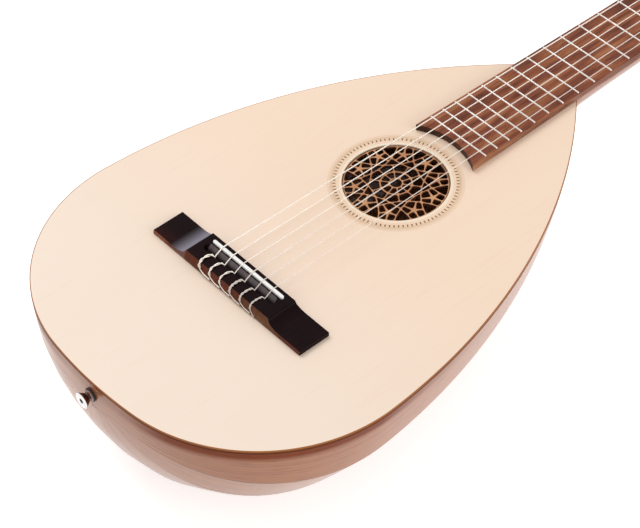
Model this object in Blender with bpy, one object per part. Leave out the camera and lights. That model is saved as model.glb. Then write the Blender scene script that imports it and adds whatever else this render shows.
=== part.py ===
# Lute guitar: a six-string guitar neck on a bowl of nine bent ribs, with a carved rose,
# a tie-block bridge and a slotted head with six geared tuners.
# Run with: blender --background --python part.py, or from the text editor. Metres, +Z up.
# The soundboard's upper face is z = 0 and the nominal bridge line is y = 0 while modelling.
# One parent empty then lifts everything, so the bowl's lowest point stands on z = 0.

import math

import bmesh
import bpy
from mathutils import Matrix, Vector

# Fits and material thicknesses
fit_gap = 0.0003             # between pieces that touch
running_gap = 0.0003         # round shafts that turn
roller_hole_gap = 0.0004     # rollers in the wood
top_thickness = 0.0025       # soundboard
rib_thickness = 0.0018       # bowl ribs

# Scale and strings
scale_length = 0.650         # nut face to nominal bridge line
fret_count = 19
body_fret = 12               # this fret stands over the end of the body
string_gauges = (0.00110, 0.00092, 0.00080, 0.00104, 0.00086, 0.00074)   # bass to treble
saddle_spread = 0.0580       # sixth to first string at the saddle
nut_spread = 0.0430          # sixth to first string at the nut
nut_string_height = 0.0084   # string centres over the soundboard plane at the nut

# Body outline, half of it: tail arc, hip arc and side arc
body_half_width = 0.1680
widest_y = -0.0276
tail_y = -0.1550
tail_arc_radius = 0.3869
hip_arc_radius = 0.1381
shoulder_half_width = 0.02843   # where the neck joins; the side arc runs from the widest place to it

# Bowl
rib_count = 9
depth_ratio_tail = 0.92      # bowl depth over half width, at the tail
depth_ratio_widest = 0.825   # at the widest place
depth_ratio_neck = 0.95      # at the neck
bowl_fullness = 2.07         # 2 is an ellipse, more is squarer
rib_meeting_drop = 0.0285    # ribs meet this far under the rim at the tail
rib_meeting_reach = 0.0440   # distance over which the joint lines rise again
rib_meeting_blend = 2.5      # how sharply the flat tail end turns into the bottom
rib_point_half_width = 0.0026   # the ribs' points stop this far from the middle line
cavity_gap_share = 1.3       # blocks stand a little more than a fit gap from the bent ribs

# Rose, rosette and soundhole
soundhole_radius = 0.0430
rosette_radius = 0.0543
rosette_depth = 0.0012
rose_recess = 0.0012         # rose face under the soundboard's face
rose_thickness = 0.0026
rose_flange_radius = 0.0480
rose_fold = 10
rose_field_radius = 0.0412   # inner edge of the rose's rim
rose_arc_radius = 0.0550
rose_arc_nearest = 0.0207    # closest that each great arc comes to the centre
rose_eye_radius = 0.0045
rose_eye_band = 0.0014
rose_ring_radius = 0.0129    # middle of the inner ring
rose_band = 0.0014           # width of arcs, ring and rim strands
rose_spoke = 0.0013
rose_flower_radius = 0.0329  # centres of the outer flowers
rose_flower_spoke = 0.0012
rose_star_radius = 0.0017
ring_sides = 40              # flats round the soundhole and everything in it

# Fingerboard and frets
board_thickness = 0.0060
board_half_nut = 0.0260
board_half_end = 0.0326
board_overhang = 0.0157      # board past the last fret, at its corners
board_rosette_gap = 0.0073   # from the rosette to the board's hollow end
fret_width = 0.0019
fret_crown = 0.0009
fret_inset = 0.0009
fret_tang = 0.0012
fret_crown_share = 0.44      # flat top over the wire's width
fret_end_bevel = 0.0007

# Bridge and saddle
bridge_half_length = 0.0848
bridge_front_y = 0.0016
bridge_back_y = -0.0275
bridge_wing_height = 0.0041
bridge_block_height = 0.0087
bridge_block_half = 0.0475
bridge_cove_length = 0.0120
bridge_back_bevel = 0.0024
bridge_back_lip = 0.0030
saddle_y = -0.0039
saddle_half_length = 0.0402
saddle_thickness = 0.0029
saddle_height = 0.0106       # top of the saddle over the soundboard
saddle_seat = 0.0045         # bottom of its slot over the soundboard
saddle_ease = 0.0008         # softened edge along its top
trough_front_y = -0.0066
trough_floor_y = -0.0132     # front face of the tie block
trough_floor_length = 0.0020
trough_floor_height = 0.0036
trough_half_length = 0.0425
tie_hole_height = 0.0052
tie_hole_room = 0.0008       # tie hole wider than its string

# Neck and nut
neck_depth_nut = 0.0150
neck_depth_first = 0.0215    # just past the heel
heel_length = 0.040
neck_end_length = 0.012      # last of the neck, where it turns into the head
nut_thickness = 0.0050
nut_height = 0.0086

# Head
head_angle = math.radians(14.0)
head_flare_length = 0.025    # from the nut to the full width
head_tip_length = 0.058      # beyond the slots
head_tip_swell = 0.0006
head_edge = 0.0022           # rounding of the head's back edges
head_half_width = 0.0360
head_thickness = 0.0185
head_root_depth = 0.0155
veneer_thickness = 0.0020
veneer_start = 0.0010        # from the nut
slot_inner = 0.0050          # half width of the middle rib
slot_outer = 0.0205
slot_before = 0.018          # slot before the first roller
slot_beyond = 0.016          # slot beyond the last roller
slot_ramp_start = 0.014
slot_ramp_depth = 0.0085
veneer_ramp_gap = 0.0020     # veneer's opening before the ramp

# Tuners
first_roller = 0.048         # along the head from the nut
roller_pitch = 0.035
roller_depth = 0.0095        # axis under the head's face
roller_radius = 0.0048
roller_tip_radius = 0.0030
roller_tip_length = 0.0030
roller_step = 0.0006         # roller's shoulder from the slot's inner wall
roller_shaft_radius = 0.0020
plate_thickness = 0.0012
plate_half_height = 0.0078
plate_margin = 0.0130        # plate beyond the last roller
plate_worm_margin = 0.0090   # plate before the first worm
plate_corner = 0.0030
gear_teeth = 14
thread_pitch = 0.0026
gear_thickness = 0.0042
gear_addendum = 0.00070
gear_dedendum = 0.00095
gear_tooth_share = 0.36      # tooth thickness over pitch
gear_screw_radius = 0.0025
gear_screw_height = 0.0010
worm_pitch_radius = 0.0029
worm_root_radius = 0.0021
worm_crest_radius = 0.0036
worm_turns = 2.25
worm_thread_share = 0.26
mesh_clearance = 0.0002
worm_shaft_radius = 0.0015
worm_shaft_end = 0.0006      # shaft beyond its upper ear
worm_sides = 8
ear_thickness = 0.0012
ear_offset = 0.0058          # inner face of each bearing ear from the worm's middle
ear_half_width = 0.0032
ear_rim = 0.0022             # ear beyond the worm's shaft
button_start = 0.0125        # along the worm's shaft from its middle
button_length = 0.0190
button_half_width = 0.0075
button_half_thickness = 0.0045
shaft_in_button = 0.0040
string_turns = 1.6
winding_outer_gap = 0.0055   # first roller's winding from the slot's outer wall
winding_step = 0.0030        # each further roller's winding lies this much nearer the middle
winding_spread = 0.0004      # between neighbouring turns

# Strap button at the tail
strap_button_drop = 0.0150
strap_button_length = 0.0100
strap_button_radius = 0.0074
strap_button_waist = 0.0034
strap_screw_radius = 0.0020
strap_screw_length = 0.0150
strap_collar_radius = 0.0046
strap_collar_length = 0.0012
strap_waist_length = 0.0012
strap_rim_length = 0.0012
washer_radius = 0.0058
washer_thickness = 0.0020
strap_sides = 16

# Inner pieces
neck_block_length = 0.038
tail_block_half_width = 0.034
tail_block_depth = 0.052
tail_block_length = 0.017
lining_height = 0.011
lining_width = 0.0075
lining_taper = 0.35          # its lower edge over its upper width
lining_end_gap = 0.0030      # along the outline, to the blocks
upper_brace_gap = 0.0300     # soundhole's edge to the brace's middle, towards the neck
middle_brace_gap = 0.0200    # and towards the bridge
lower_brace_y = -0.070
brace_end_gap = 0.0030       # from a brace's end to the lining
brace_width = 0.007
brace_height = 0.017
brace_end_height = 0.005
brace_scallop = 0.040

# Values that follow from the ones above
neck_joint_y = scale_length * (1.0 - 2.0 ** (-body_fret / 12.0))
side_reach = neck_joint_y - widest_y
side_narrowing = body_half_width - shoulder_half_width
side_arc_radius = (side_reach ** 2 + side_narrowing ** 2) / (2.0 * side_narrowing)
board_end_y = scale_length * 2.0 ** (-fret_count / 12.0) - board_overhang
board_end_radius = rosette_radius + board_rosette_gap
rose_y = board_end_y - math.sqrt(board_end_radius ** 2 - board_half_end ** 2)
brace_places = (("upper_brace", rose_y + soundhole_radius + upper_brace_gap),
                ("middle_brace", rose_y - soundhole_radius - middle_brace_gap),
                ("lower_brace", lower_brace_y))
slot_start = first_roller - slot_before
slot_end = first_roller + 2.0 * roller_pitch + slot_beyond
head_length = slot_end + head_tip_length
gear_pitch_radius = gear_teeth * thread_pitch / (2.0 * math.pi)
worm_distance = gear_pitch_radius + worm_pitch_radius + mesh_clearance
nut_y = scale_length
head_y = nut_y + nut_thickness + 2.0 * fit_gap
plate_x = head_half_width + fit_gap
gear_x = plate_x + plate_thickness + worm_crest_radius + running_gap
board_top = fit_gap + board_thickness
under_top = -top_thickness - fit_gap


# Small helpers

def make_material(name, colour, roughness, metallic=0.0):
    material = bpy.data.materials.new(name)
    material.use_nodes = True
    shader = material.node_tree.nodes["Principled BSDF"]
    shader.inputs["Base Color"].default_value = (*colour, 1.0)
    shader.inputs["Roughness"].default_value = roughness
    shader.inputs["Metallic"].default_value = metallic
    material.diffuse_color = (*colour, 1.0)
    return material


def add_empty(name, parent=None, location=(0.0, 0.0, 0.0), turn_x=0.0):
    empty = bpy.data.objects.new(name, None)
    bpy.context.collection.objects.link(empty)
    empty.location = location
    empty.rotation_euler = (turn_x, 0.0, 0.0)
    empty.parent = parent
    empty.empty_display_size = 0.01
    return empty


def add_object(name, mesh, material, parent, smooth_angle=None):
    part = bpy.data.objects.new(name, mesh)
    bpy.context.collection.objects.link(part)
    part.parent = parent
    if material:
        mesh.materials.append(material)
    if smooth_angle is not None:
        mesh.shade_smooth()
        mesh.set_sharp_from_angle(angle=math.radians(smooth_angle))
    return part


def mesh_from(name, vertices, faces):
    mesh = bpy.data.meshes.new(name)
    mesh.from_pydata([tuple(v) for v in vertices], [], faces)
    work = bmesh.new()
    work.from_mesh(mesh)
    bmesh.ops.remove_doubles(work, verts=work.verts, dist=1e-7)
    bmesh.ops.recalc_face_normals(work, faces=work.faces)
    work.to_mesh(mesh)
    work.free()
    return mesh


def loft(name, rings, cap=True):
    # Rings are closed loops with equally many points; the two end loops are capped.
    count = len(rings[0])
    vertices = [point for ring in rings for point in ring]
    faces = []
    for r in range(len(rings) - 1):
        for k in range(count):
            n = (k + 1) % count
            faces.append((r * count + k, r * count + n, (r + 1) * count + n, (r + 1) * count + k))
    if cap:
        faces.append(tuple(range(count - 1, -1, -1)))
        faces.append(tuple((len(rings) - 1) * count + k for k in range(count)))
    return mesh_from(name, vertices, faces)


def extrude_outline(name, outline, low, high, axis="Z"):
    # Outline points are in the two axes that are left, in order: XY, XZ or YZ.
    place = {"Z": lambda p, h: (p[0], p[1], h),
             "Y": lambda p, h: (p[0], h, p[1]),
             "X": lambda p, h: (h, p[0], p[1])}[axis]
    return loft(name, [[place(p, low) for p in outline], [place(p, high) for p in outline]])


def box_mesh(name, low, high):
    outline = [(low[0], low[1]), (high[0], low[1]), (high[0], high[1]), (low[0], high[1])]
    return extrude_outline(name, outline, low[2], high[2])


def turned(name, profile, sides, axis="Z", phase=0.0):
    # Profile is a list of (radius, height); both ends are closed by a flat or a point.
    place = {"Z": lambda c, s, h: (c, s, h), "X": lambda c, s, h: (h, c, s),
             "Y": lambda c, s, h: (s, h, c)}[axis]
    rings = []
    for radius, height in profile:
        ring = []
        for k in range(sides):
            angle = phase + 2.0 * math.pi * k / sides
            ring.append(place(radius * math.cos(angle), radius * math.sin(angle), height))
        rings.append(ring)
    return loft(name, rings)


def arc_points(centre, radius, start, end, count):
    return [(centre[0] + radius * math.cos(start + (end - start) * i / (count - 1)),
             centre[1] + radius * math.sin(start + (end - start) * i / (count - 1)))
            for i in range(count)]


def add_cutter(name, mesh, parent):
    cutter = add_object(name, mesh, None, parent)
    cutter.hide_render = True
    cutter.display_type = "WIRE"
    return cutter


def combine(part, cutter, operation):
    boolean = part.modifiers.new(operation.lower() + "_" + cutter.name, "BOOLEAN")
    boolean.operation = operation
    boolean.solver = "EXACT"
    boolean.object = cutter


def merge_meshes(name, meshes):
    # Puts separate closed shells into one cutter mesh.
    work = bmesh.new()
    for mesh in meshes:
        work.from_mesh(mesh)
    merged = bpy.data.meshes.new(name)
    work.to_mesh(merged)
    work.free()
    return merged


# Body outline

def outline_arcs():
    # Centres of the side, hip and tail arcs, the angles where they meet, and the arcs' lengths.
    side = Vector((body_half_width - side_arc_radius, widest_y))
    tail = Vector((0.0, tail_y + tail_arc_radius))
    reach_side = side_arc_radius - hip_arc_radius
    reach_tail = tail_arc_radius - hip_arc_radius
    between = tail - side
    distance = between.length
    along = (reach_side ** 2 - reach_tail ** 2 + distance ** 2) / (2.0 * distance)
    across = math.sqrt(max(reach_side ** 2 - along ** 2, 0.0))
    middle = side + between * (along / distance)
    normal = Vector((-between.y, between.x)) / distance
    first, second = middle + normal * across, middle - normal * across
    hip = first if first.x > second.x else second
    tail_end = math.atan2((hip - tail).y, (hip - tail).x)
    side_start = math.atan2((hip - side).y, (hip - side).x)
    tail_span = tail_arc_radius * (tail_end + math.pi / 2.0)
    hip_span = hip_arc_radius * (side_start - tail_end)
    return side, hip, tail, tail_end, side_start, tail_span, hip_span


def outline_point(travel):
    # Half outline as (half width, y) at a distance along it from the tail's middle.
    side, hip, tail, tail_end, side_start, tail_span, hip_span = outline_arcs()
    if travel < tail_span:
        angle = -math.pi / 2.0 + travel / tail_arc_radius
        centre, radius = tail, tail_arc_radius
    elif travel < tail_span + hip_span:
        angle = tail_end + (travel - tail_span) / hip_arc_radius
        centre, radius = hip, hip_arc_radius
    else:
        angle = side_start + (travel - tail_span - hip_span) / side_arc_radius
        centre, radius = side, side_arc_radius
    return centre.x + radius * math.cos(angle), centre.y + radius * math.sin(angle)


def outline_travel_at(y):
    # Distance along the half outline to where it reaches y.
    side, _, _, _, side_start, tail_span, hip_span = outline_arcs()
    if y > widest_y:
        turn = math.asin((y - side.y) / side_arc_radius) - side_start
        return tail_span + hip_span + side_arc_radius * turn
    low, high = 0.0, tail_span + hip_span - side_arc_radius * side_start
    for _ in range(50):
        middle = (low + high) / 2.0
        if outline_point(middle)[1] < y:
            low = middle
        else:
            high = middle
    return low


def half_width_at(y):
    return outline_point(outline_travel_at(y))[0]


# Bowl sections

def depth_ratio(y):
    # A parabola through the ratios at the tail, the widest place and the neck.
    places = (tail_y, widest_y, neck_joint_y)
    ratios = (depth_ratio_tail, depth_ratio_widest, depth_ratio_neck)
    value = 0.0
    for i in range(3):
        term = ratios[i]
        for j in range(3):
            if i != j:
                term *= (y - places[j]) / (places[i] - places[j])
        value += term
    return value


def joint_point(travel, step):
    # Outer edge where ribs step and step + 1 meet; step 0 and rib_count are the rim.
    half_width, y = outline_point(travel)
    if step in (0, rib_count):
        sign = 1.0 if step == 0 else -1.0
        return Vector((sign * half_width, y, under_top))
    centre = rib_meeting_drop * math.exp(-travel / rib_meeting_reach)
    depth = half_width * depth_ratio(y) + top_thickness
    blend = rib_meeting_blend
    height = (depth ** blend + rib_meeting_drop ** blend) ** (1.0 / blend) - centre
    angle = math.pi * step / rib_count
    power = 2.0 / bowl_fullness
    x = half_width * math.copysign(abs(math.cos(angle)) ** power, math.cos(angle))
    return Vector((x, y, -(centre + height * math.sin(angle) ** power)))


def bowl_station(travel):
    # Outer and inner edge points of every joint line at one distance along the outline.
    nudge = rib_thickness
    outer = [joint_point(travel, k) for k in range(rib_count + 1)]
    ahead = [joint_point(travel + nudge, k) for k in range(rib_count + 1)]
    facets = []
    for k in range(rib_count):
        across = outer[k + 1] - outer[k]
        forward = (ahead[k] - outer[k]) + (ahead[k + 1] - outer[k + 1])
        normal = forward.cross(across)
        normal.normalize()
        middle = (outer[k] + outer[k + 1]) / 2.0
        inward = Vector((0.0, rose_y * 0.2, under_top * 4.0)) - middle
        facets.append(normal if normal.dot(inward) < 0.0 else -normal)
    inner = []
    for k in range(rib_count + 1):
        if k in (0, rib_count):
            facet = facets[0] if k == 0 else facets[-1]
            flat = Vector((facet.x, facet.y, 0.0)).normalized()
            inner.append(outer[k] - flat * (rib_thickness / flat.dot(facet)))
        else:
            mitre = (facets[k - 1] + facets[k]).normalized()
            inner.append(outer[k] - mitre * (rib_thickness / mitre.dot(facets[k])))
    return outer, inner, facets


def bowl_travels():
    last = outline_travel_at(neck_joint_y - fit_gap)
    fractions = (0.016, 0.038, 0.07, 0.105, 0.145, 0.19, 0.24, 0.29, 0.34, 0.39, 0.44,
                 0.50, 0.57, 0.64, 0.71, 0.78, 0.85, 0.92)
    start = tail_arc_radius * math.asin(rib_point_half_width / tail_arc_radius)
    return [start] + [last * f for f in fractions] + [last]


def make_rib(number, material, parent):
    # One bent strip, held back from its joint lines by half the fit gap.
    first, second = number - 1, number
    travels = bowl_travels()
    if number in (1, rib_count):
        travels = [fit_gap] + travels
    stations = [bowl_station(travel) for travel in travels]
    rings = []
    for i, (outer, inner, facets) in enumerate(stations):
        a, b = (i, i + 1) if i + 1 < len(stations) else (i - 1, i)
        facet = facets[number - 1]
        shifts = []
        for joint, side in ((first, 1.0), (second, -1.0)):
            along = stations[b][0][joint] - stations[a][0][joint]
            shift = facet.cross(along).normalized() * (fit_gap / 2.0)
            if shift.dot(outer[second] - outer[first]) * side < 0.0:
                shift = -shift
            shifts.append(shift if joint not in (0, rib_count) else Vector((0.0, 0.0, 0.0)))
        near, far = shifts
        ring = [outer[first] + near, outer[second] + far, inner[second] + far, inner[first] + near]
        for point in ring:
            if number == 1:
                point.x = max(point.x, fit_gap / 2.0)
            if number == rib_count:
                point.x = min(point.x, -fit_gap / 2.0)
        rings.append(ring)
    mesh = loft("rib", rings)
    return add_object("rib_%d" % number, mesh, material, parent)


def cavity_mesh():
    # The room inside the ribs, one fit gap away from them, to shape the inner pieces.
    rings = []
    for travel in bowl_travels():
        _, inner, facets = bowl_station(travel)
        ring = []
        for k in range(rib_count + 1):
            pull = facets[min(k, rib_count - 1)]
            point = inner[k] - pull * (fit_gap * cavity_gap_share)
            point.z = min(point.z, under_top)
            ring.append(point)
        rings.append(ring)
    return loft("cavity", rings)


# Soundboard, rosette and rose

def body_outline():
    last = outline_travel_at(neck_joint_y - fit_gap)
    steps = 34
    right = [outline_point(last * i / steps) for i in range(steps + 1)]
    left = [(-x, y) for x, y in reversed(right[1:])]
    return right + left


def make_soundboard(material, parent):
    mesh = extrude_outline("soundboard", body_outline(), -top_thickness, 0.0)
    board = add_object("soundboard", mesh, material, parent, 30)
    hole = turned("soundhole_cutter", [(soundhole_radius, -0.01), (soundhole_radius, 0.01)], ring_sides)
    hole.transform(Matrix.Translation((0.0, rose_y, 0.0)))
    combine(board, add_cutter("soundhole_cutter", hole, parent), "DIFFERENCE")
    outer = rosette_radius + fit_gap
    channel = turned("rosette_cutter", [(outer, -rosette_depth - fit_gap), (outer, 0.01)], ring_sides)
    channel.transform(Matrix.Translation((0.0, rose_y, 0.0)))
    combine(board, add_cutter("rosette_cutter", channel, parent), "DIFFERENCE")
    return board


def make_rosette(material, parent):
    profile = ((soundhole_radius, -rosette_depth), (rosette_radius, -rosette_depth),
               (rosette_radius, 0.0), (soundhole_radius, 0.0))
    sides = ring_sides
    vertices = []
    faces = []
    for radius, height in profile:
        for k in range(sides):
            angle = 2.0 * math.pi * k / sides
            vertices.append((radius * math.cos(angle), rose_y + radius * math.sin(angle), height))
    for p in range(4):
        for k in range(sides):
            n = (k + 1) % sides
            q = (p + 1) % 4
            faces.append((p * sides + k, p * sides + n, q * sides + n, q * sides + k))
    return add_object("rosette_ring", mesh_from("rosette_ring", vertices, faces), material, parent, 30)


def circle_crossing(first, second, near):
    # Crossing of two circles (centre, radius) that lies nearest to a point.
    (c1, r1), (c2, r2) = first, second
    between = c2 - c1
    distance = between.length
    along = (r1 ** 2 - r2 ** 2 + distance ** 2) / (2.0 * distance)
    across = math.sqrt(max(r1 ** 2 - along ** 2, 0.0))
    middle = c1 + between * (along / distance)
    normal = Vector((-between.y, between.x)) / distance
    options = (middle + normal * across, middle - normal * across)
    return min(options, key=lambda p: (p - near).length)


def line_circle_crossing(origin, direction, centre, radius, near):
    offset = origin - centre
    b = offset.dot(direction)
    c = offset.length_squared - radius ** 2
    root = math.sqrt(max(b * b - c, 0.0))
    options = (origin + direction * (-b + root), origin + direction * (-b - root))
    return min(options, key=lambda p: (p - near).length)


def line_crossing(p, d, q, e):
    cross = d.x * e.y - d.y * e.x
    travel = ((q.x - p.x) * e.y - (q.y - p.y) * e.x) / cross
    return p + d * travel


def wall_crossing(first, second, near):
    # A wall is ("line", origin, direction) or ("circle", centre, radius).
    if first[0] == "circle" and second[0] == "circle":
        return circle_crossing(first[1:], second[1:], near)
    if first[0] == "line" and second[0] == "line":
        return line_crossing(first[1], first[2], second[1], second[2])
    line, circle = (first, second) if first[0] == "line" else (second, first)
    return line_circle_crossing(line[1], line[2], circle[1], circle[2], near)


def toward(angle, length=1.0):
    return Vector((math.cos(angle) * length, math.sin(angle) * length))


def great_arc(angle, side):
    # Edge of a great arc's strand: side +1 is its edge towards the rose's centre.
    centre = toward(angle, rose_arc_nearest + rose_arc_radius)
    return ("circle", centre, rose_arc_radius + side * rose_band / 2.0)


def spoke_edge(origin, angle, side, width):
    direction = toward(angle)
    normal = Vector((-direction.y, direction.x))
    return ("line", origin + normal * (side * width / 2.0), direction)


def cell_from_walls(walls, hints):
    corners = []
    for k in range(len(walls)):
        corners.append(wall_crossing(walls[k], walls[(k + 1) % len(walls)], hints[k]))
    return corners


def rose_cells():
    # Every opening of the lattice as a plan outline round the rose's centre.
    step = 2.0 * math.pi / rose_fold
    half = step / 2.0
    centre = Vector((0.0, 0.0))
    rim = ("circle", centre, rose_field_radius)
    eye_wall = ("circle", centre, rose_eye_radius + rose_eye_band)
    ring_in = ("circle", centre, rose_ring_radius - rose_band / 2.0)
    ring_out = ("circle", centre, rose_ring_radius + rose_band / 2.0)
    eye, ring, near, far = rose_eye_radius, rose_ring_radius, rose_arc_nearest, rose_field_radius
    cells = [[toward(2.0 * math.pi * k / 20, eye) for k in range(20)]]
    for k in range(rose_fold):
        axis = math.pi / 2.0 + k * step
        left, right = axis + half, axis - half
        spoke_left = spoke_edge(centre, left, -1, rose_spoke)
        spoke_right = spoke_edge(centre, right, 1, rose_spoke)
        # Between two spokes: one cell inside the inner ring and one outside it
        cells.append(cell_from_walls(
            [eye_wall, spoke_right, ring_in, spoke_left],
            [toward(right, eye), toward(right, ring), toward(left, ring), toward(left, eye)]))
        cells.append(cell_from_walls(
            [ring_out, spoke_right, great_arc(right, 1), great_arc(left, 1), spoke_left],
            [toward(right, ring), toward(right, near), toward(axis, near),
             toward(left, near), toward(left, ring)]))
        # On the spoke's axis: an inner triangle and one at the rim
        cells.append(cell_from_walls(
            [great_arc(right, -1), great_arc(right - step, 1), great_arc(right + step, 1)],
            [toward(right - 0.8 * half, near), toward(right, rose_flower_radius),
             toward(right + 0.8 * half, near)]))
        cells.append(cell_from_walls(
            [great_arc(right - step, -1), rim, great_arc(right + step, -1)],
            [toward(right + 0.4 * half, far), toward(right - 0.4 * half, far),
             toward(right, rose_flower_radius)]))
        cells.extend(flower_cells(axis, half, rim))
    return cells


def flower_cells(axis, half, rim):
    # Five cells round a small star, between four great arcs and the rim.
    heart = toward(axis, rose_flower_radius)
    turns = [axis + math.radians(72.0 * k) for k in range(5)]
    outer_left, outer_right = great_arc(axis + 3 * half, 1), great_arc(axis - 3 * half, 1)
    low_left, low_right = great_arc(axis - half, -1), great_arc(axis + half, -1)
    reach = rose_field_radius - rose_flower_radius
    # Each cell lies between two spokes, from the lower turn to the higher, and two outer walls
    cells = []
    for low, high, first, second in ((4, 0, rim, outer_right), (0, 1, outer_left, rim),
                                     (3, 4, outer_right, low_right), (1, 2, low_left, outer_left),
                                     (2, 3, low_right, low_left)):
        start = spoke_edge(heart, turns[low], 1, rose_flower_spoke)
        end = spoke_edge(heart, turns[high], -1, rose_flower_spoke)
        middle = turns[low] + math.radians(36.0)
        corners = [wall_crossing(start, second, heart + toward(turns[low], reach)),
                   wall_crossing(second, first, heart + toward(middle, reach * 1.25)),
                   wall_crossing(first, end, heart + toward(turns[high], reach))]
        tip = heart + toward(middle, rose_star_radius)
        edge = rose_flower_spoke / 2.0
        cells.append(corners + [tip + toward(turns[high], edge), tip + toward(turns[low], edge)])
    return cells


def make_rose(material, parent):
    low = -rose_recess - rose_thickness
    flange_top = under_top
    body_radius = soundhole_radius - fit_gap
    profile = [(rose_flange_radius, low), (rose_flange_radius, flange_top),
               (body_radius, flange_top), (body_radius, -rose_recess)]
    mesh = turned("rose", profile, ring_sides)
    rose = add_object("rose", mesh, material, parent)
    cutters = []
    for cell in rose_cells():
        cutters.append(extrude_outline("rose_cell", [(p.x, p.y) for p in cell], low - 0.002, 0.002))
    merged = merge_meshes("rose_cutter", cutters)
    combine(rose, add_cutter("rose_cutter", merged, parent), "DIFFERENCE")
    mesh.transform(Matrix.Translation((0.0, rose_y, 0.0)))
    merged.transform(Matrix.Translation((0.0, rose_y, 0.0)))
    return rose


# Inner pieces

def make_blocks(material, parent):
    cavity = add_cutter("cavity_guide", cavity_mesh(), parent)
    neck_low = (-body_half_width, neck_joint_y - neck_block_length, -2.0 * body_half_width)
    neck_high = (body_half_width, neck_joint_y + neck_block_length, under_top)
    block = add_object("neck_block", box_mesh("neck_block", neck_low, neck_high), material, parent)
    combine(block, cavity, "INTERSECT")
    tail_low = (-tail_block_half_width, tail_y - tail_block_length, -tail_block_depth)
    tail_high = (tail_block_half_width, tail_y + tail_block_length, under_top)
    tail = add_object("tail_block", box_mesh("tail_block", tail_low, tail_high), material, parent)
    combine(tail, cavity, "INTERSECT")
    hole = strap_hole("tail_block_hole", strap_screw_radius + fit_gap, parent)
    combine(tail, hole, "DIFFERENCE")


def strap_hole(name, radius, parent):
    depth = strap_screw_length + washer_thickness
    mesh = turned(name, [(radius, tail_y - washer_thickness), (radius, tail_y + depth)], 12, "Y")
    mesh.transform(Matrix.Translation((0.0, 0.0, -strap_button_drop)))
    return add_cutter(name, mesh, parent)


def lining_ring(travel):
    # Section of the treble lining, one fit gap inside the rib.
    _, inner, facets = bowl_station(travel)
    drop = (inner[1] - inner[0]) * (lining_height / (inner[0].z - inner[1].z))
    flat = Vector((facets[0].x, facets[0].y, 0.0)).normalized()
    outer_top = inner[0] - flat * (fit_gap / flat.dot(facets[0]))
    outer_low = outer_top + drop
    return [outer_top, outer_low, outer_low - flat * (lining_width * lining_taper),
            outer_top - flat * lining_width]


def lining_rings(side):
    # On the ribs' own stations, so that it follows their inner face exactly, from the tail block
    # to the neck block. Each end lies between two stations, on the line from one to the other.
    travels = bowl_travels()
    start = tail_arc_radius * math.asin((tail_block_half_width + lining_end_gap) / tail_arc_radius)
    last = outline_travel_at(neck_joint_y - neck_block_length - lining_end_gap)
    rings = [lining_ring(travel) for travel in travels if start < travel < last]
    for end, place in ((start, 0), (last, len(rings) + 1)):
        before = max(travel for travel in travels if travel <= end)
        after = min(travel for travel in travels if travel > end)
        share = (end - before) / (after - before)
        ring = [a.lerp(b, share) for a, b in zip(lining_ring(before), lining_ring(after))]
        rings.insert(place, ring)
    return [[Vector((side * p.x, p.y, p.z)) for p in ring] for ring in rings]


def make_linings(material, parent):
    for name, side in (("lining_treble", 1.0), ("lining_bass", -1.0)):
        add_object(name, loft(name, lining_rings(side)), material, parent)


def make_braces(material, parent):
    for name, y in brace_places:
        edge = min(half_width_at(y - brace_width), half_width_at(y + brace_width))
        half = edge - rib_thickness - lining_width - brace_end_gap
        low = under_top - brace_height
        end = under_top - brace_end_height
        scallop = min(brace_scallop, half * 0.6)
        profile = [(-half, under_top), (-half, end), (-half + scallop, low),
                   (half - scallop, low), (half, end), (half, under_top)]
        mesh = extrude_outline(name, profile, y - brace_width / 2.0, y + brace_width / 2.0, "Y")
        add_object(name, mesh, material, parent)


# Bridge and saddle

def bridge_profile():
    # Front view: flat wings, hollowed coves and the raised block.
    right = [(bridge_half_length, fit_gap), (bridge_half_length, bridge_wing_height)]
    start = bridge_block_half + bridge_cove_length
    rise = bridge_block_height - bridge_wing_height
    for i in range(6):
        angle = math.pi / 2.0 * i / 5.0
        x = start - bridge_cove_length * math.sin(angle)
        right.append((x, bridge_wing_height + rise * (1.0 - math.cos(angle))))
    left = [(-x, z) for x, z in reversed(right)]
    return right + left


def string_x(index, spread):
    return spread * (index / 5.0 - 0.5)


def make_bridge(material, parent):
    mesh = extrude_outline("bridge", bridge_profile(), bridge_back_y, bridge_front_y, "Y")
    bridge = add_object("bridge", mesh, material, parent, 35)
    cuts = []
    half = bridge_half_length + 0.01
    top = bridge_block_height + 0.003
    slope = bridge_back_bevel / (bridge_block_height - bridge_back_lip)
    behind = bridge_back_y - bridge_back_bevel
    back = [(behind, bridge_back_lip), (bridge_back_y, bridge_back_lip),
            (bridge_back_y + slope * (top - bridge_back_lip), top), (behind, top)]
    cuts.append(extrude_outline("back_bevel", back, -half, half, "X"))
    seat = saddle_thickness / 2.0 + fit_gap
    cuts.append(box_mesh("saddle_slot",
                         (-saddle_half_length - fit_gap, saddle_y - seat, saddle_seat),
                         (saddle_half_length + fit_gap, saddle_y + seat, top)))
    trough = [(trough_front_y, bridge_block_height),
              (trough_floor_y + trough_floor_length, trough_floor_height),
              (trough_floor_y, trough_floor_height), (trough_floor_y, top), (trough_front_y, top)]
    cuts.append(extrude_outline("trough", trough, -trough_half_length, trough_half_length, "X"))
    cutter = add_cutter("bridge_cutter", merge_meshes("bridge_cutter", cuts), parent)
    combine(bridge, cutter, "DIFFERENCE")
    holes = []
    for index, gauge in enumerate(string_gauges):
        radius = (gauge + tie_hole_room) / 2.0
        hole = turned("tie_hole", [(radius, bridge_back_y - radius), (radius, trough_floor_y + radius)],
                      8, "Y", math.pi / 8.0)
        hole.transform(Matrix.Translation((string_x(index, saddle_spread), 0.0, tie_hole_height)))
        holes.append(hole)
    combine(bridge, add_cutter("tie_holes", merge_meshes("tie_holes", holes), parent), "DIFFERENCE")
    return bridge


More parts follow.
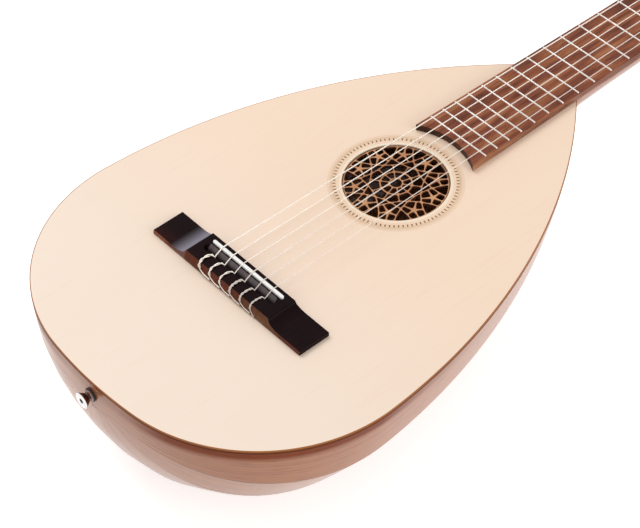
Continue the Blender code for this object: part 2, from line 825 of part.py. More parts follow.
def make_saddle(material, parent):
    # A bone bar with round ends in plan and a softened top.
    half = saddle_thickness / 2.0
    straight = saddle_half_length - half
    rings = []
    bottom = saddle_seat + fit_gap
    for height, inset in ((bottom, 0.0), (saddle_height - saddle_ease, 0.0), (saddle_height, saddle_ease)):
        radius = half - inset
        right = arc_points((straight, saddle_y), radius, -math.pi / 2.0, math.pi / 2.0, 7)
        left = arc_points((-straight, saddle_y), radius, math.pi / 2.0, 1.5 * math.pi, 7)
        rings.append([(x, y, height) for x, y in right + left])
    return add_object("saddle", loft("saddle", rings), material, parent, 40)


# Neck, fingerboard and nut

def board_half_at(y):
    share = (y - board_end_y) / (nut_y - board_end_y)
    return board_half_end + (board_half_nut - board_half_end) * share


def fret_y(number):
    return scale_length * 2.0 ** (-number / 12.0)


def make_fingerboard(material, parent):
    half_end = board_half_end
    span = math.asin(half_end / board_end_radius)
    hollow = arc_points((0.0, rose_y), board_end_radius, math.pi / 2.0 - span, math.pi / 2.0 + span, 13)
    nut_edge = nut_y - fit_gap
    outline = [(board_half_nut, nut_edge), (-board_half_nut, nut_edge)] + list(reversed(hollow))
    mesh = extrude_outline("fingerboard", outline, fit_gap, board_top)
    board = add_object("fingerboard", mesh, material, parent)
    frets = []
    for number in range(1, fret_count + 1):
        y = fret_y(number)
        half = board_half_at(y) - fret_inset
        flat = fret_crown_share / 2.0
        section = ((-0.5, -fret_tang), (0.5, -fret_tang), (0.5, 0.0), (flat, fret_crown),
                   (-flat, fret_crown), (-0.5, 0.0))
        rings = []
        for x, height in ((-half, 0.35), (-half + fret_end_bevel, 1.0),
                          (half - fret_end_bevel, 1.0), (half, 0.35)):
            ring = []
            for along, up in section:
                lift = up * height if up > 0.0 else up
                ring.append((x, y + along * fret_width, board_top + lift))
            rings.append(ring)
        frets.append(loft("fret", rings))
    wires = add_cutter("fret_wires", merge_meshes("fret_wires", frets), parent)
    combine(board, wires, "UNION")
    return board


def d_section(half, depth, round_x, round_z, top=0.0):
    # Half outline from the upper right corner down to the middle, as (x, z) points.
    points = [(half, top), (half, -(depth - round_z))]
    for i in range(1, 6):
        angle = math.pi / 2.0 * i / 5.0
        points.append((half - round_x + round_x * math.cos(angle),
                       -(depth - round_z) - round_z * math.sin(angle)))
    return points + [(-x, z) for x, z in reversed(points)]


def make_neck(material, parent):
    start = neck_joint_y + fit_gap
    end = head_y
    rings = []
    joint_half = half_width_at(neck_joint_y - fit_gap)
    joint_depth = joint_half * depth_ratio(neck_joint_y) + top_thickness
    heel = ((0.0, 1.0), (0.25, 0.62), (0.6, 0.18), (1.0, 0.0))
    for share, weight in heel:
        y = start + heel_length * share
        depth = neck_depth_first + (joint_depth - neck_depth_first) * weight
        half = board_half_at(y) + (joint_half - board_half_at(y)) * weight
        rings.append([(x, y, z) for x, z in d_section(half, depth, half * 0.98, depth * 0.94)])
    last_y = end - neck_end_length
    for share in (0.33, 0.66, 1.0):
        y = start + heel_length + (last_y - start - heel_length) * share
        depth = neck_depth_first + (neck_depth_nut - neck_depth_first) * share
        half = board_half_at(min(y, nut_y))
        rings.append([(x, y, z) for x, z in d_section(half, depth, half * 0.98, depth * 0.94)])
    lean = math.tan(head_angle)
    gap = fit_gap / math.cos(head_angle)
    half, depth = board_half_nut, head_root_depth
    rings.append([(x, end - gap + z * lean, z)
                  for x, z in d_section(half, depth, half * 0.98, depth * 0.94)])
    return add_object("neck", loft("neck", rings), material, parent, 40)


def make_nut(material, parent):
    low = (-board_half_nut, nut_y, fit_gap)
    high = (board_half_nut, nut_y + nut_thickness, nut_height)
    nut = add_object("nut", box_mesh("nut", low, high), material, parent)
    slots = []
    for index, gauge in enumerate(string_gauges):
        reach = gauge / 2.0 + fit_gap
        x = string_x(index, nut_spread)
        floor = nut_string_height - reach
        slots.append(box_mesh("nut_slot", (x - reach, nut_y - reach, floor),
                              (x + reach, nut_y + nut_thickness + reach, nut_height + reach)))
    combine(nut, add_cutter("nut_slots", merge_meshes("nut_slots", slots), parent), "DIFFERENCE")
    return nut


# Head, in its own frame: y runs from the nut to the tip, z = 0 is the wood's face

def head_stations():
    # Distance from the nut, half width, depth, and the corner's rounding across and down
    root, full, flare = head_root_depth, head_half_width, head_flare_length
    edge, last = head_edge, head_length
    widening = full - board_half_nut
    return ((0.0, board_half_nut, root, board_half_nut * 0.98, root * 0.94),
            (flare * 0.32, board_half_nut + widening * 0.08, root + (head_thickness - root) * 0.2,
             board_half_nut * 0.73, root * 0.71),
            (flare * 0.68, full - widening * 0.35, head_thickness - edge * 0.4, full * 0.25, root * 0.45),
            (flare, full, head_thickness, edge, edge),
            (last - head_tip_length * 0.72, full, head_thickness, edge, edge),
            (last - head_tip_length * 0.50, full + head_tip_swell, head_thickness, edge, edge),
            (last - head_tip_length * 0.29, full - widening * 0.35, head_thickness, edge, edge),
            (last - head_tip_length * 0.14, full * 0.66, head_thickness, edge, edge),
            (last - head_tip_length * 0.05, full * 0.40, head_thickness, edge, edge),
            (last, full * 0.16, head_thickness, edge, edge))


def stadium(x_low, x_high, y_low, y_high):
    radius = (x_high - x_low) / 2.0
    middle = (x_low + x_high) / 2.0
    top = arc_points((middle, y_high - radius), radius, 0.0, math.pi, 7)
    bottom = arc_points((middle, y_low + radius), radius, math.pi, 2.0 * math.pi, 7)
    return top + bottom


def slot_cutters(start, low, high):
    cuts = []
    for side in (1.0, -1.0):
        outline = [(side * x, y) for x, y in stadium(slot_inner, slot_outer, start, slot_end)]
        cuts.append(extrude_outline("slot", outline, low, high))
    return cuts


def ramp_cutters(top):
    cuts = []
    for side in (1.0, -1.0):
        radius = (slot_outer - slot_inner) / 2.0
        profile = [(slot_ramp_start, 0.0), (slot_start + radius, -slot_ramp_depth),
                   (slot_start + radius, top), (slot_ramp_start, top)]
        x_low, x_high = sorted((side * slot_inner, side * slot_outer))
        cuts.append(extrude_outline("ramp", profile, x_low, x_high, "X"))
    return cuts


def roller_places():
    return [first_roller + roller_pitch * k for k in range(3)]


def roller_hole_cutters():
    cuts = []
    for side in (1.0, -1.0):
        for y in roller_places():
            wide, tip = roller_radius + roller_hole_gap, roller_tip_radius + roller_hole_gap
            deep = slot_inner - roller_tip_length - 2.0 * running_gap
            for radius, start, end in ((wide, slot_outer - wide, head_half_width + wide),
                                       (tip, deep, slot_inner + tip)):
                mesh = turned("roller_hole", [(radius, side * start), (radius, side * end)], 12, "X")
                mesh.transform(Matrix.Translation((0.0, y, -roller_depth)))
                cuts.append(mesh)
    return cuts


def make_head(material, veneer_material, frame):
    rings = []
    for y, half, depth, round_x, round_z in head_stations():
        rings.append([(x, y, z) for x, z in d_section(half, depth, round_x, round_z)])
    head = add_object("headstock", loft("headstock", rings), material, frame, 40)
    through = 2.0 * head_thickness
    slots = merge_meshes("slot_cutter", slot_cutters(slot_start, -through, through))
    combine(head, add_cutter("slot_cutter", slots, frame), "DIFFERENCE")
    ramps = merge_meshes("ramp_cutter", ramp_cutters(through))
    combine(head, add_cutter("ramp_cutter", ramps, frame), "DIFFERENCE")
    holes = merge_meshes("roller_hole_cutter", roller_hole_cutters())
    combine(head, add_cutter("roller_hole_cutter", holes, frame), "DIFFERENCE")
    outline = [(half, max(y, veneer_start)) for y, half, _, _, _ in head_stations()]
    outline = outline + [(-x, y) for x, y in reversed(outline)]
    mesh = extrude_outline("head_veneer", outline, fit_gap, fit_gap + veneer_thickness)
    veneer = add_object("head_veneer", mesh, veneer_material, frame)
    opening = slot_cutters(slot_ramp_start - veneer_ramp_gap, -through, through)
    cutter = add_cutter("veneer_cutter", merge_meshes("veneer_cutter", opening), frame)
    combine(veneer, cutter, "DIFFERENCE")
    return head


# Tuners

def make_roller_mesh(side):
    wall = plate_x - running_gap
    tip_start = slot_inner + roller_step
    profile = [(roller_tip_radius, slot_inner - roller_tip_length),
               (roller_tip_radius, tip_start), (roller_radius, tip_start), (roller_radius, wall),
               (roller_shaft_radius, wall), (roller_shaft_radius, gear_x + gear_thickness * 0.2)]
    return turned("string_roller", [(r, side * x) for r, x in profile], 12, "X")


def gear_outline():
    # Teeth with flat tips; a space faces the worm, which lies towards the nut.
    root = gear_pitch_radius - gear_dedendum
    tip = gear_pitch_radius + gear_addendum
    points = []
    pitch = 2.0 * math.pi / gear_teeth
    for tooth in range(gear_teeth):
        middle = math.pi + pitch * (tooth + 0.5)
        root_half = pitch * (gear_tooth_share + 0.12) / 2.0
        tip_half = pitch * (gear_tooth_share - 0.10) / 2.0
        points.append((root * math.cos(middle - root_half), root * math.sin(middle - root_half)))
        points.append((tip * math.cos(middle - tip_half), tip * math.sin(middle - tip_half)))
        points.append((tip * math.cos(middle + tip_half), tip * math.sin(middle + tip_half)))
        points.append((root * math.cos(middle + root_half), root * math.sin(middle + root_half)))
    return points


def make_gear(name, side, material, parent):
    inner = side * (gear_x - gear_thickness / 2.0)
    outer = side * (gear_x + gear_thickness / 2.0)
    mesh = extrude_outline("gear", gear_outline(), min(inner, outer), max(inner, outer), "X")
    gear = add_object(name, mesh, material, parent)
    screw_top = side * (gear_x + gear_thickness / 2.0 + gear_screw_height)
    screw_edge = screw_top - side * gear_screw_height * 0.3
    screw = turned("gear_screw", [(gear_screw_radius, outer - side * gear_screw_height * 0.2),
                                  (gear_screw_radius, screw_edge),
                                  (gear_screw_radius * 0.8, screw_top)], 8, "X")
    combine(gear, add_cutter(name + "_screw", screw, parent), "UNION")
    radius = roller_shaft_radius + running_gap
    bore = turned("gear_bore", [(radius, inner - side * radius),
                                (radius, side * (gear_x + gear_thickness * 0.32))], 8, "X")
    combine(gear, add_cutter(name + "_bore", bore, parent), "DIFFERENCE")
    return gear


def worm_mesh():
    # One closed surface: a right-hand ridge wound on the core, root between its turns, and the shaft.
    per_turn = worm_sides
    steps = int(round(worm_turns * per_turn))
    base_half = thread_pitch * (worm_thread_share + 0.16) / 2.0
    crest_half = thread_pitch * (worm_thread_share - 0.06) / 2.0
    vertices, faces = [], []
    for i in range(steps + 1):
        turn = i / per_turn - worm_turns / 2.0
        z = thread_pitch * turn
        fade = min(1.0, (i + 0.6) / 3.0, (steps - i + 0.6) / 3.0)
        crest = worm_root_radius + (worm_crest_radius - worm_root_radius) * fade
        for radius, height in ((worm_root_radius, -base_half), (crest, -crest_half),
                               (crest, crest_half), (worm_root_radius, base_half)):
            vertices.append(worm_point(radius, turn, z + height))
    for i in range(steps):
        low, high = 4 * i, 4 * (i + 1)
        faces += [(low + j, high + j, high + j + 1, low + j + 1) for j in range(3)]
        if i + per_turn < steps:
            above, beyond = 4 * (i + per_turn), 4 * (i + per_turn + 1)
            faces.append((low + 3, high + 3, beyond, above))
    faces += [(0, 1, 2, 3), (4 * steps, 4 * steps + 3, 4 * steps + 2, 4 * steps + 1)]
    # Round the ridge's two ends the root runs on to the shoulders, and the shaft goes on from there
    ear_end = ear_offset + ear_thickness
    shoulder = ear_offset - running_gap
    for end, last, lip in ((-1, 0, 0), (1, steps, 3)):
        tip = -(button_start + shaft_in_button) if end < 0 else ear_end + worm_shaft_end
        start = len(vertices)
        for radius, z in ((worm_root_radius, end * shoulder), (worm_shaft_radius, end * shoulder),
                          (worm_shaft_radius, tip)):
            for k in range(per_turn):
                turn = (last - end * k) / per_turn - worm_turns / 2.0
                vertices.append(worm_point(radius, turn, z))
        for k in range(per_turn):
            n = (k + 1) % per_turn
            here, there = 4 * (last - end * k) + lip, 4 * (last - end * (k + 1)) + lip
            face = [start + k, start + n, there, here]
            if n == 0:
                face = [start + k, start, 4 * last + lip, 4 * last + 3 - lip, there, here]
            faces.append(tuple(face))
            for ring in (start, start + per_turn):
                faces.append((ring + k, ring + n, ring + per_turn + n, ring + per_turn + k))
        faces.append(tuple(range(start + 2 * per_turn, start + 3 * per_turn)))
    return mesh_from("worm", vertices, faces)


def worm_point(radius, turn, z):
    # The ridge's middle turn faces the gear, which lies towards +y.
    angle = math.pi / 2.0 + 2.0 * math.pi * turn
    return (radius * math.cos(angle), radius * math.sin(angle), z)


def make_button_mesh():
    # An oval grip, waisted towards the shaft, with a blind hole for the shaft.
    rings = []
    outline = ((0.0, 0.42), (0.10, 0.55), (0.30, 0.92), (0.60, 1.0), (0.88, 0.86), (1.0, 0.55))
    sides = 10
    for share, swell in outline:
        z = -(button_start + button_length * share)
        ring = []
        for k in range(sides):
            angle = 2.0 * math.pi * k / sides
            ring.append((button_half_thickness * swell * math.cos(angle),
                         button_half_width * swell * math.sin(angle), z))
        rings.append(ring)
    return loft("tuner_button", rings)


def make_plate(name, side, material, frame):
    low_y = first_roller - worm_distance - plate_worm_margin
    high_y = roller_places()[-1] + plate_margin
    x_in, x_out = side * plate_x, side * (plate_x + plate_thickness)
    corner = plate_corner
    low_z, high_z = -roller_depth - plate_half_height, -roller_depth + plate_half_height
    outline = [(low_y + corner, low_z), (high_y - corner, low_z), (high_y, low_z + corner),
               (high_y, high_z - corner), (high_y - corner, high_z), (low_y + corner, high_z),
               (low_y, high_z - corner), (low_y, low_z + corner)]
    mesh = extrude_outline(name, outline, min(x_in, x_out), max(x_in, x_out), "X")
    plate = add_object(name, mesh, material, frame)
    ears = []
    ear_reach = side * (gear_x + worm_shaft_radius + ear_rim)
    ear_root = side * (plate_x + plate_thickness * 0.5)
    for y in roller_places():
        worm_y = y - worm_distance
        for direction in (1.0, -1.0):
            z_low = -roller_depth + direction * ear_offset
            z_high = -roller_depth + direction * (ear_offset + ear_thickness)
            x_low, x_high = sorted((ear_root, ear_reach))
            ears.append(box_mesh("ear", (x_low, worm_y - ear_half_width, min(z_low, z_high)),
                                 (x_high, worm_y + ear_half_width, max(z_low, z_high))))
    combine(plate, add_cutter(name + "_ears", merge_meshes("ears", ears), frame), "UNION")
    bores = []
    for y in roller_places():
        radius = roller_shaft_radius + running_gap
        bore = turned("plate_bore", [(radius, x_in - side * radius), (radius, x_out + side * radius)],
                      worm_sides, "X")
        bore.transform(Matrix.Translation((0.0, y, -roller_depth)))
        bores.append(bore)
        radius = worm_shaft_radius + running_gap
        reach = ear_offset + 2.0 * ear_thickness
        shaft = turned("ear_bore", [(radius, -reach), (radius, reach)], worm_sides)
        shaft.transform(Matrix.Translation((side * gear_x, y - worm_distance, -roller_depth)))
        bores.append(shaft)
    combine(plate, add_cutter(name + "_bores", merge_meshes("bores", bores), frame), "DIFFERENCE")
    return plate


def tuner_seat(number):
    # Strings 6, 5, 4 use the bass rollers from the nut outwards, and 1, 2, 3 the treble ones.
    side = -1.0 if number >= 4 else 1.0
    row = 6 - number if number >= 4 else number - 1
    return side, roller_places()[row]


def make_tuners(frame, materials):
    for name, side in (("tuner_plate_bass", -1.0), ("tuner_plate_treble", 1.0)):
        make_plate(name, side, materials["brass"], frame)
    for number in range(1, 7):
        side, y = tuner_seat(number)
        axle = add_empty("roller_axis_%d" % number, frame, (0.0, y, -roller_depth))
        add_object("string_roller_%d" % number, make_roller_mesh(side), materials["ivory"], axle, 40)
        make_gear("roller_gear_%d" % number, side, materials["brass"], axle)
        stem = add_empty("worm_axis_%d" % number, frame,
                         (side * gear_x, y - worm_distance, -roller_depth))
        add_object("worm_%d" % number, worm_mesh(), materials["steel"], stem, 40)
        button = add_object("tuner_button_%d" % number, make_button_mesh(), materials["ivory"], stem, 50)
        radius = worm_shaft_radius + fit_gap
        bore_end = -(button_start + shaft_in_button + fit_gap)
        bore = turned("button_bore", [(radius, bore_end), (radius, 0.0)], worm_sides)
        combine(button, add_cutter("button_bore_%d" % number, bore, stem), "DIFFERENCE")


# Strings

def head_to_world(point):
    x, y, z = point
    cosine, sine = math.cos(head_angle), math.sin(head_angle)
    return Vector((x, head_y + y * cosine + z * sine, z * cosine - y * sine))


def world_to_head(point):
    cosine, sine = math.cos(head_angle), math.sin(head_angle)
    along, up = point.y - head_y, point.z
    return Vector((point.x, along * cosine - up * sine, along * sine + up * cosine))


def winding_points(number, gauge, nut_point):
    # From the roller's tangent point, turns round the roller towards the slot's outer wall.
    side, roller_y = tuner_seat(number)
    row = roller_places().index(roller_y)
    start_x = side * (slot_outer - winding_outer_gap - winding_step * row)
    per_turn = 10
    radius = (roller_radius + fit_gap / 2.0 + gauge / 2.0) / math.cos(math.pi / per_turn)
    local = world_to_head(nut_point)
    reach_y, reach_z = local.y - roller_y, local.z + roller_depth
    distance = math.hypot(reach_y, reach_z)
    tangent = math.atan2(reach_z, reach_y) - math.acos(radius / distance)
    points = []
    for i in range(int(string_turns * per_turn) + 1):
        turn = i / per_turn
        angle = tangent - 2.0 * math.pi * turn
        x = start_x + side * turn * (gauge + winding_spread)
        points.append(head_to_world((x, roller_y + radius * math.cos(angle),
                                     -roller_depth + radius * math.sin(angle))))
    return points


def tie_points(x, gauge):
    # Down from the saddle, through the block, and back over its top in a loop.
    side = gauge + 0.0005
    over = bridge_block_height + gauge / 2.0 + fit_gap
    behind = bridge_back_y - gauge / 2.0 - fit_gap
    hole = tie_hole_height
    front = trough_floor_y + gauge / 2.0 + 0.0004
    slope = bridge_back_bevel + 0.0018
    return [Vector((x, trough_floor_y + 0.0006, hole + 0.0002)),
            Vector((x, trough_floor_y - 0.0010, hole)),
            Vector((x, bridge_back_y + 0.0030, hole)),
            Vector((x - side * 0.3, behind + 0.0002, hole + 0.0004)),
            Vector((x - side, behind + 0.0004, hole + 0.0018)),
            Vector((x - side, behind + 0.0018, over - 0.0002)),
            Vector((x - side, behind + slope, over)),
            Vector((x - side, (behind + slope + front) / 2.0, over)),
            Vector((x - side, front - 0.0002, over - 0.0001)),
            Vector((x - side, front + 0.0006, over - 0.0012))]


def make_strings(materials, parent):
    for index, gauge in enumerate(string_gauges):
        number = 6 - index
        crown = saddle_height + gauge / 2.0 + fit_gap
        x_saddle, x_nut = string_x(index, saddle_spread), string_x(index, nut_spread)
        nut_front = Vector((x_nut, nut_y - 0.0002, nut_string_height))
        nut_back = Vector((x_nut, nut_y + nut_thickness + 0.0004, nut_string_height))
        route = list(reversed(winding_points(number, gauge, nut_back)))
        route += [nut_back, nut_front]
        route += [Vector((x_saddle, saddle_y + 0.0008, crown)),
                  Vector((x_saddle, saddle_y - 0.0010, crown - 0.0001))]
        route += tie_points(x_saddle, gauge)
        curve = bpy.data.curves.new("string_%d" % number, "CURVE")
        curve.dimensions = "3D"
        spline = curve.splines.new("POLY")
        spline.points.add(len(route) - 1)
        for point, place in zip(spline.points, route):
            point.co = (*place, 1.0)
        curve.bevel_depth = gauge / 2.0
        curve.bevel_resolution = 0
        curve.use_fill_caps = True
        string = bpy.data.objects.new("string_%d" % number, curve)
        bpy.context.collection.objects.link(string)
        string.parent = parent
        curve.materials.append(materials["wound"] if number >= 4 else materials["nylon"])


# Strap button

def make_strap_button(metal, felt, parent):
    base = tail_y - fit_gap - washer_thickness - fit_gap
    out = base - strap_button_length
    waist = (base + out) / 2.0
    profile = [(strap_screw_radius, tail_y + strap_screw_length),
               (strap_screw_radius, base),
               (strap_collar_radius, base), (strap_collar_radius, base - strap_collar_length),
               (strap_button_waist, waist + strap_waist_length),
               (strap_button_waist, waist), (strap_button_radius, out + strap_rim_length),
               (strap_button_radius, out + strap_rim_length * 0.4),
               (strap_button_radius - strap_rim_length * 0.4, out)]
    mesh = turned("strap_button", profile, strap_sides, "Y")
    mesh.transform(Matrix.Translation((0.0, 0.0, -strap_button_drop)))
    add_object("strap_button", mesh, metal, parent, 40)
    inner = strap_screw_radius + fit_gap
    front, rear = tail_y - fit_gap - washer_thickness, tail_y - fit_gap
    profile = ((inner, front), (washer_radius, front), (washer_radius, rear), (inner, rear))
    sides = strap_sides
    vertices, faces = [], []
    for radius, y in profile:
        for k in range(sides):
            angle = 2.0 * math.pi * k / sides
            vertices.append((radius * math.sin(angle), y, radius * math.cos(angle) - strap_button_drop))
    for p in range(4):
        for k in range(sides):
            n, q = (k + 1) % sides, (p + 1) % 4
            faces.append((p * sides + k, p * sides + n, q * sides + n, q * sides + k))
    add_object("strap_button_washer", mesh_from("washer", vertices, faces), felt, parent, 40)


def clear_scene():
    for old in list(bpy.data.objects):
        bpy.data.objects.remove(old, do_unlink=True)


def build():
    clear_scene()
    materials = {
        "spruce": make_material("spruce_top", (0.92, 0.78, 0.62), 0.35),
        "walnut": make_material("walnut_ribs", (0.36, 0.20, 0.13), 0.15),
        "neck": make_material("neck_wood", (0.30, 0.13, 0.09), 0.25),
        "board": make_material("fingerboard_wood", (0.19, 0.08, 0.05), 0.45),
        "bridge": make_material("bridge_wood", (0.022, 0.010, 0.010), 0.30),
        "rose": make_material("rose_wood", (0.50, 0.26, 0.12), 0.50),
        "rosette": make_material("rosette_wood", (0.85, 0.68, 0.50), 0.40),
        "inner": make_material("inner_spruce", (0.75, 0.60, 0.42), 0.70),
        "bone": make_material("bone", (0.93, 0.91, 0.87), 0.35),
        "ivory": make_material("button_ivory", (0.88, 0.84, 0.76), 0.30),
        "brass": make_material("tuner_brass", (0.80, 0.60, 0.28), 0.25, 1.0),
        "steel": make_material("tuner_steel", (0.75, 0.75, 0.76), 0.25, 1.0),
        "chrome": make_material("chrome", (0.85, 0.85, 0.86), 0.08, 1.0),
        "felt": make_material("black_felt", (0.010, 0.010, 0.010), 0.95),
        "wound": make_material("wound_string", (0.80, 0.80, 0.80), 0.30, 1.0),
        "nylon": make_material("nylon_string", (0.85, 0.80, 0.74), 0.20)}

    lowest = min(p.z for t in bowl_travels() for p in bowl_station(t)[0])
    head_tip = head_to_world((0.0, head_length, 0.0)).y
    tail_tip = tail_y - 2.0 * fit_gap - washer_thickness - strap_button_length
    middle_y = (head_tip + tail_tip) / 2.0
    stand = add_empty("instrument", None, (0.0, -middle_y, -lowest))
    head_frame = add_empty("head_frame", stand, (0.0, head_y, 0.0), -head_angle)

    make_soundboard(materials["spruce"], stand)
    make_rosette(materials["rosette"], stand)
    make_rose(materials["rose"], stand)
    for number in range(1, rib_count + 1):
        make_rib(number, materials["walnut"], stand)
    hole = strap_hole("rib_hole", strap_screw_radius + fit_gap, stand)
    for number in (1, rib_count):
        combine(bpy.data.objects["rib_%d" % number], hole, "DIFFERENCE")
    make_blocks(materials["inner"], stand)
    make_linings(materials["inner"], stand)
    make_braces(materials["inner"], stand)
    make_bridge(materials["bridge"], stand)
    make_saddle(materials["bone"], stand)
    make_neck(materials["neck"], stand)
    make_fingerboard(materials["board"], stand)
    make_nut(materials["bone"], stand)
    make_head(materials["neck"], materials["board"], head_frame)
    make_tuners(head_frame, materials)
    make_strings(materials, stand)
    make_strap_button(materials["chrome"], materials["felt"], stand)


build()
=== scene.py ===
# Lute guitar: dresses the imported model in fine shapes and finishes, then lights it.
import math

import bmesh
import bpy
from mathutils import Matrix, Vector
from mathutils.geometry import delaunay_2d_cdt


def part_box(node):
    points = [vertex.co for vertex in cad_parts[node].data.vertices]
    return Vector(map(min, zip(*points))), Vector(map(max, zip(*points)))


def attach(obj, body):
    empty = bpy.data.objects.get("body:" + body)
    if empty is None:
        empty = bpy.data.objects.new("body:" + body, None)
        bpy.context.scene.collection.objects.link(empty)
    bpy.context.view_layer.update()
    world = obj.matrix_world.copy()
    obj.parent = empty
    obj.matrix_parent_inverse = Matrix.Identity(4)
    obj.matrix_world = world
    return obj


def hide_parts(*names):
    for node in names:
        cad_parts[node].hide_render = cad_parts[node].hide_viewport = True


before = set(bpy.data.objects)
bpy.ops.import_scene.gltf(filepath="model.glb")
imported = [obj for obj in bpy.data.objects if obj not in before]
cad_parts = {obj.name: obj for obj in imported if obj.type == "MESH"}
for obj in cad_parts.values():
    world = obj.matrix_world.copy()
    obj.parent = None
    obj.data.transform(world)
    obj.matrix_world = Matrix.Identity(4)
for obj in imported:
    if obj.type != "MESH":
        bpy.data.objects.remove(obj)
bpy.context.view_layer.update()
print("frame loaded")

# Sizes that several pieces share, in metres
body = {
    "tailY": -0.155, "widestY": -0.0276, "halfWidth": 0.168, "shoulder": 0.02843, "tailArc": 0.3869,
    "hipArc": 0.1381, "topThickness": 0.0025, "fitGap": 0.0003, "jointY": 0.325,
    "ribs": 9, "ribThickness": 0.0018, "ratios": (0.92, 0.825, 0.95), "fullness": 2.07,
    "meetDrop": 0.0285, "meetReach": 0.044, "meetBlend": 2.5}
neck = {
    "scale": 0.650, "frets": 19, "boardTop": 0.0063, "halfNut": 0.0260, "halfEnd": 0.0326, "endArc": 0.0616,
    "depthNut": 0.0150, "depthFirst": 0.0215, "heel": 0.040, "headTurn": 0.012, "rootDepth": 0.0155}
head = {
    "angle": math.radians(14.0), "startY": 0.6556, "length": 0.192, "thickness": 0.0185, "halfWidth": 0.036,
    "rollers": (0.048, 0.083, 0.118), "depth": 0.0095, "slotIn": 0.0050, "slotOut": 0.0205}
strings = {
    "gauges": (0.00110, 0.00092, 0.00080, 0.00104, 0.00086, 0.00074),     # sixth to first
    "saddleSpread": 0.0580, "nutSpread": 0.0430, "nutHeight": 0.0084, "turns": 1.6, "sides": 12}

boardLow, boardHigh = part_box("soundboard")
ringLow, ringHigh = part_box("rosette_ring")
lift = Vector((0.0, boardLow[1] - body["tailY"], boardHigh[2]))     # soundboard face at 0, bridge line at 0
roseY = (ringLow[1] + ringHigh[1]) / 2.0 - lift.y
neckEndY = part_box("fingerboard")[0][1] - lift.y
stand = Matrix.Translation(lift)
headOnly = Matrix.Translation((0.0, head["startY"], 0.0)) @ Matrix.Rotation(-head["angle"], 4, "X")
headStand = stand @ headOnly


# Nodes, for materials and for geometry

def addNode(tree, kind, inputs=None, **settings):
    node = tree.nodes.new(kind)
    for key, value in settings.items():
        setattr(node, key, value)
    for key, value in (inputs or {}).items():
        if isinstance(value, bpy.types.NodeSocket):
            tree.links.new(value, node.inputs[key])
        else:
            node.inputs[key].default_value = value
    return node


def mathNode(tree, operation, first, second=None):
    inputs = {0: first} if second is None else {0: first, 1: second}
    return addNode(tree, "ShaderNodeMath", inputs, operation=operation).outputs[0]


def vectorNode(tree, operation, first, second=None, scale=None):
    inputs = {0: first}
    if second is not None:
        inputs[1] = second
    if scale is not None:
        inputs[3] = scale
    node = addNode(tree, "ShaderNodeVectorMath", inputs, operation=operation)
    return node.outputs[1 if operation in ("LENGTH", "DOT_PRODUCT") else 0]


def ramp(tree, factor, stops):
    node = addNode(tree, "ShaderNodeValToRGB", {0: factor})
    while len(node.color_ramp.elements) < len(stops):
        node.color_ramp.elements.new(0.5)
    for element, (position, colour) in zip(node.color_ramp.elements, stops):
        element.position = position
        element.color = (*colour, 1.0)
    return node.outputs[0]


def blend(tree, mode, factor, first, second):
    second = second if isinstance(second, bpy.types.NodeSocket) else (*second, 1.0)
    return addNode(tree, "ShaderNodeMix", {0: factor, 6: first, 7: second}, data_type="RGBA", blend_type=mode).outputs[2]


# Finishes

def newMaterial(name, look):
    mat = bpy.data.materials.new(name)
    mat.use_nodes = True
    shader = mat.node_tree.nodes["Principled BSDF"]
    for socket, value in look.get("shader", {}).items():
        shader.inputs[socket].default_value = value
    return mat, mat.node_tree, shader


def objectNoise(tree, source, scale, detail, roughness=0.5):
    mapping = addNode(tree, "ShaderNodeMapping", {"Vector": source, "Scale": scale})
    return addNode(tree, "ShaderNodeTexNoise",
                   {"Vector": mapping.outputs[0], "Scale": 1.0, "Detail": detail, "Roughness": roughness}).outputs[0]


def spread(tree, value, low, high):
    return addNode(tree, "ShaderNodeMapRange", {"Value": value, "To Min": low, "To Max": high}).outputs[0]


def objectAxis(tree, axis):
    return addNode(tree, "ShaderNodeSeparateXYZ", {0: addNode(tree, "ShaderNodeTexCoord").outputs["Object"]}).outputs[axis]


def alongAxis(tree, axis, start, end):
    # 0 up to start and 1 from end on, both measured in the instrument's own frame
    return addNode(tree, "ShaderNodeMapRange", {"Value": objectAxis(tree, axis), "From Min": lift[axis] + start,
                                                "From Max": lift[axis] + end}).outputs[0]


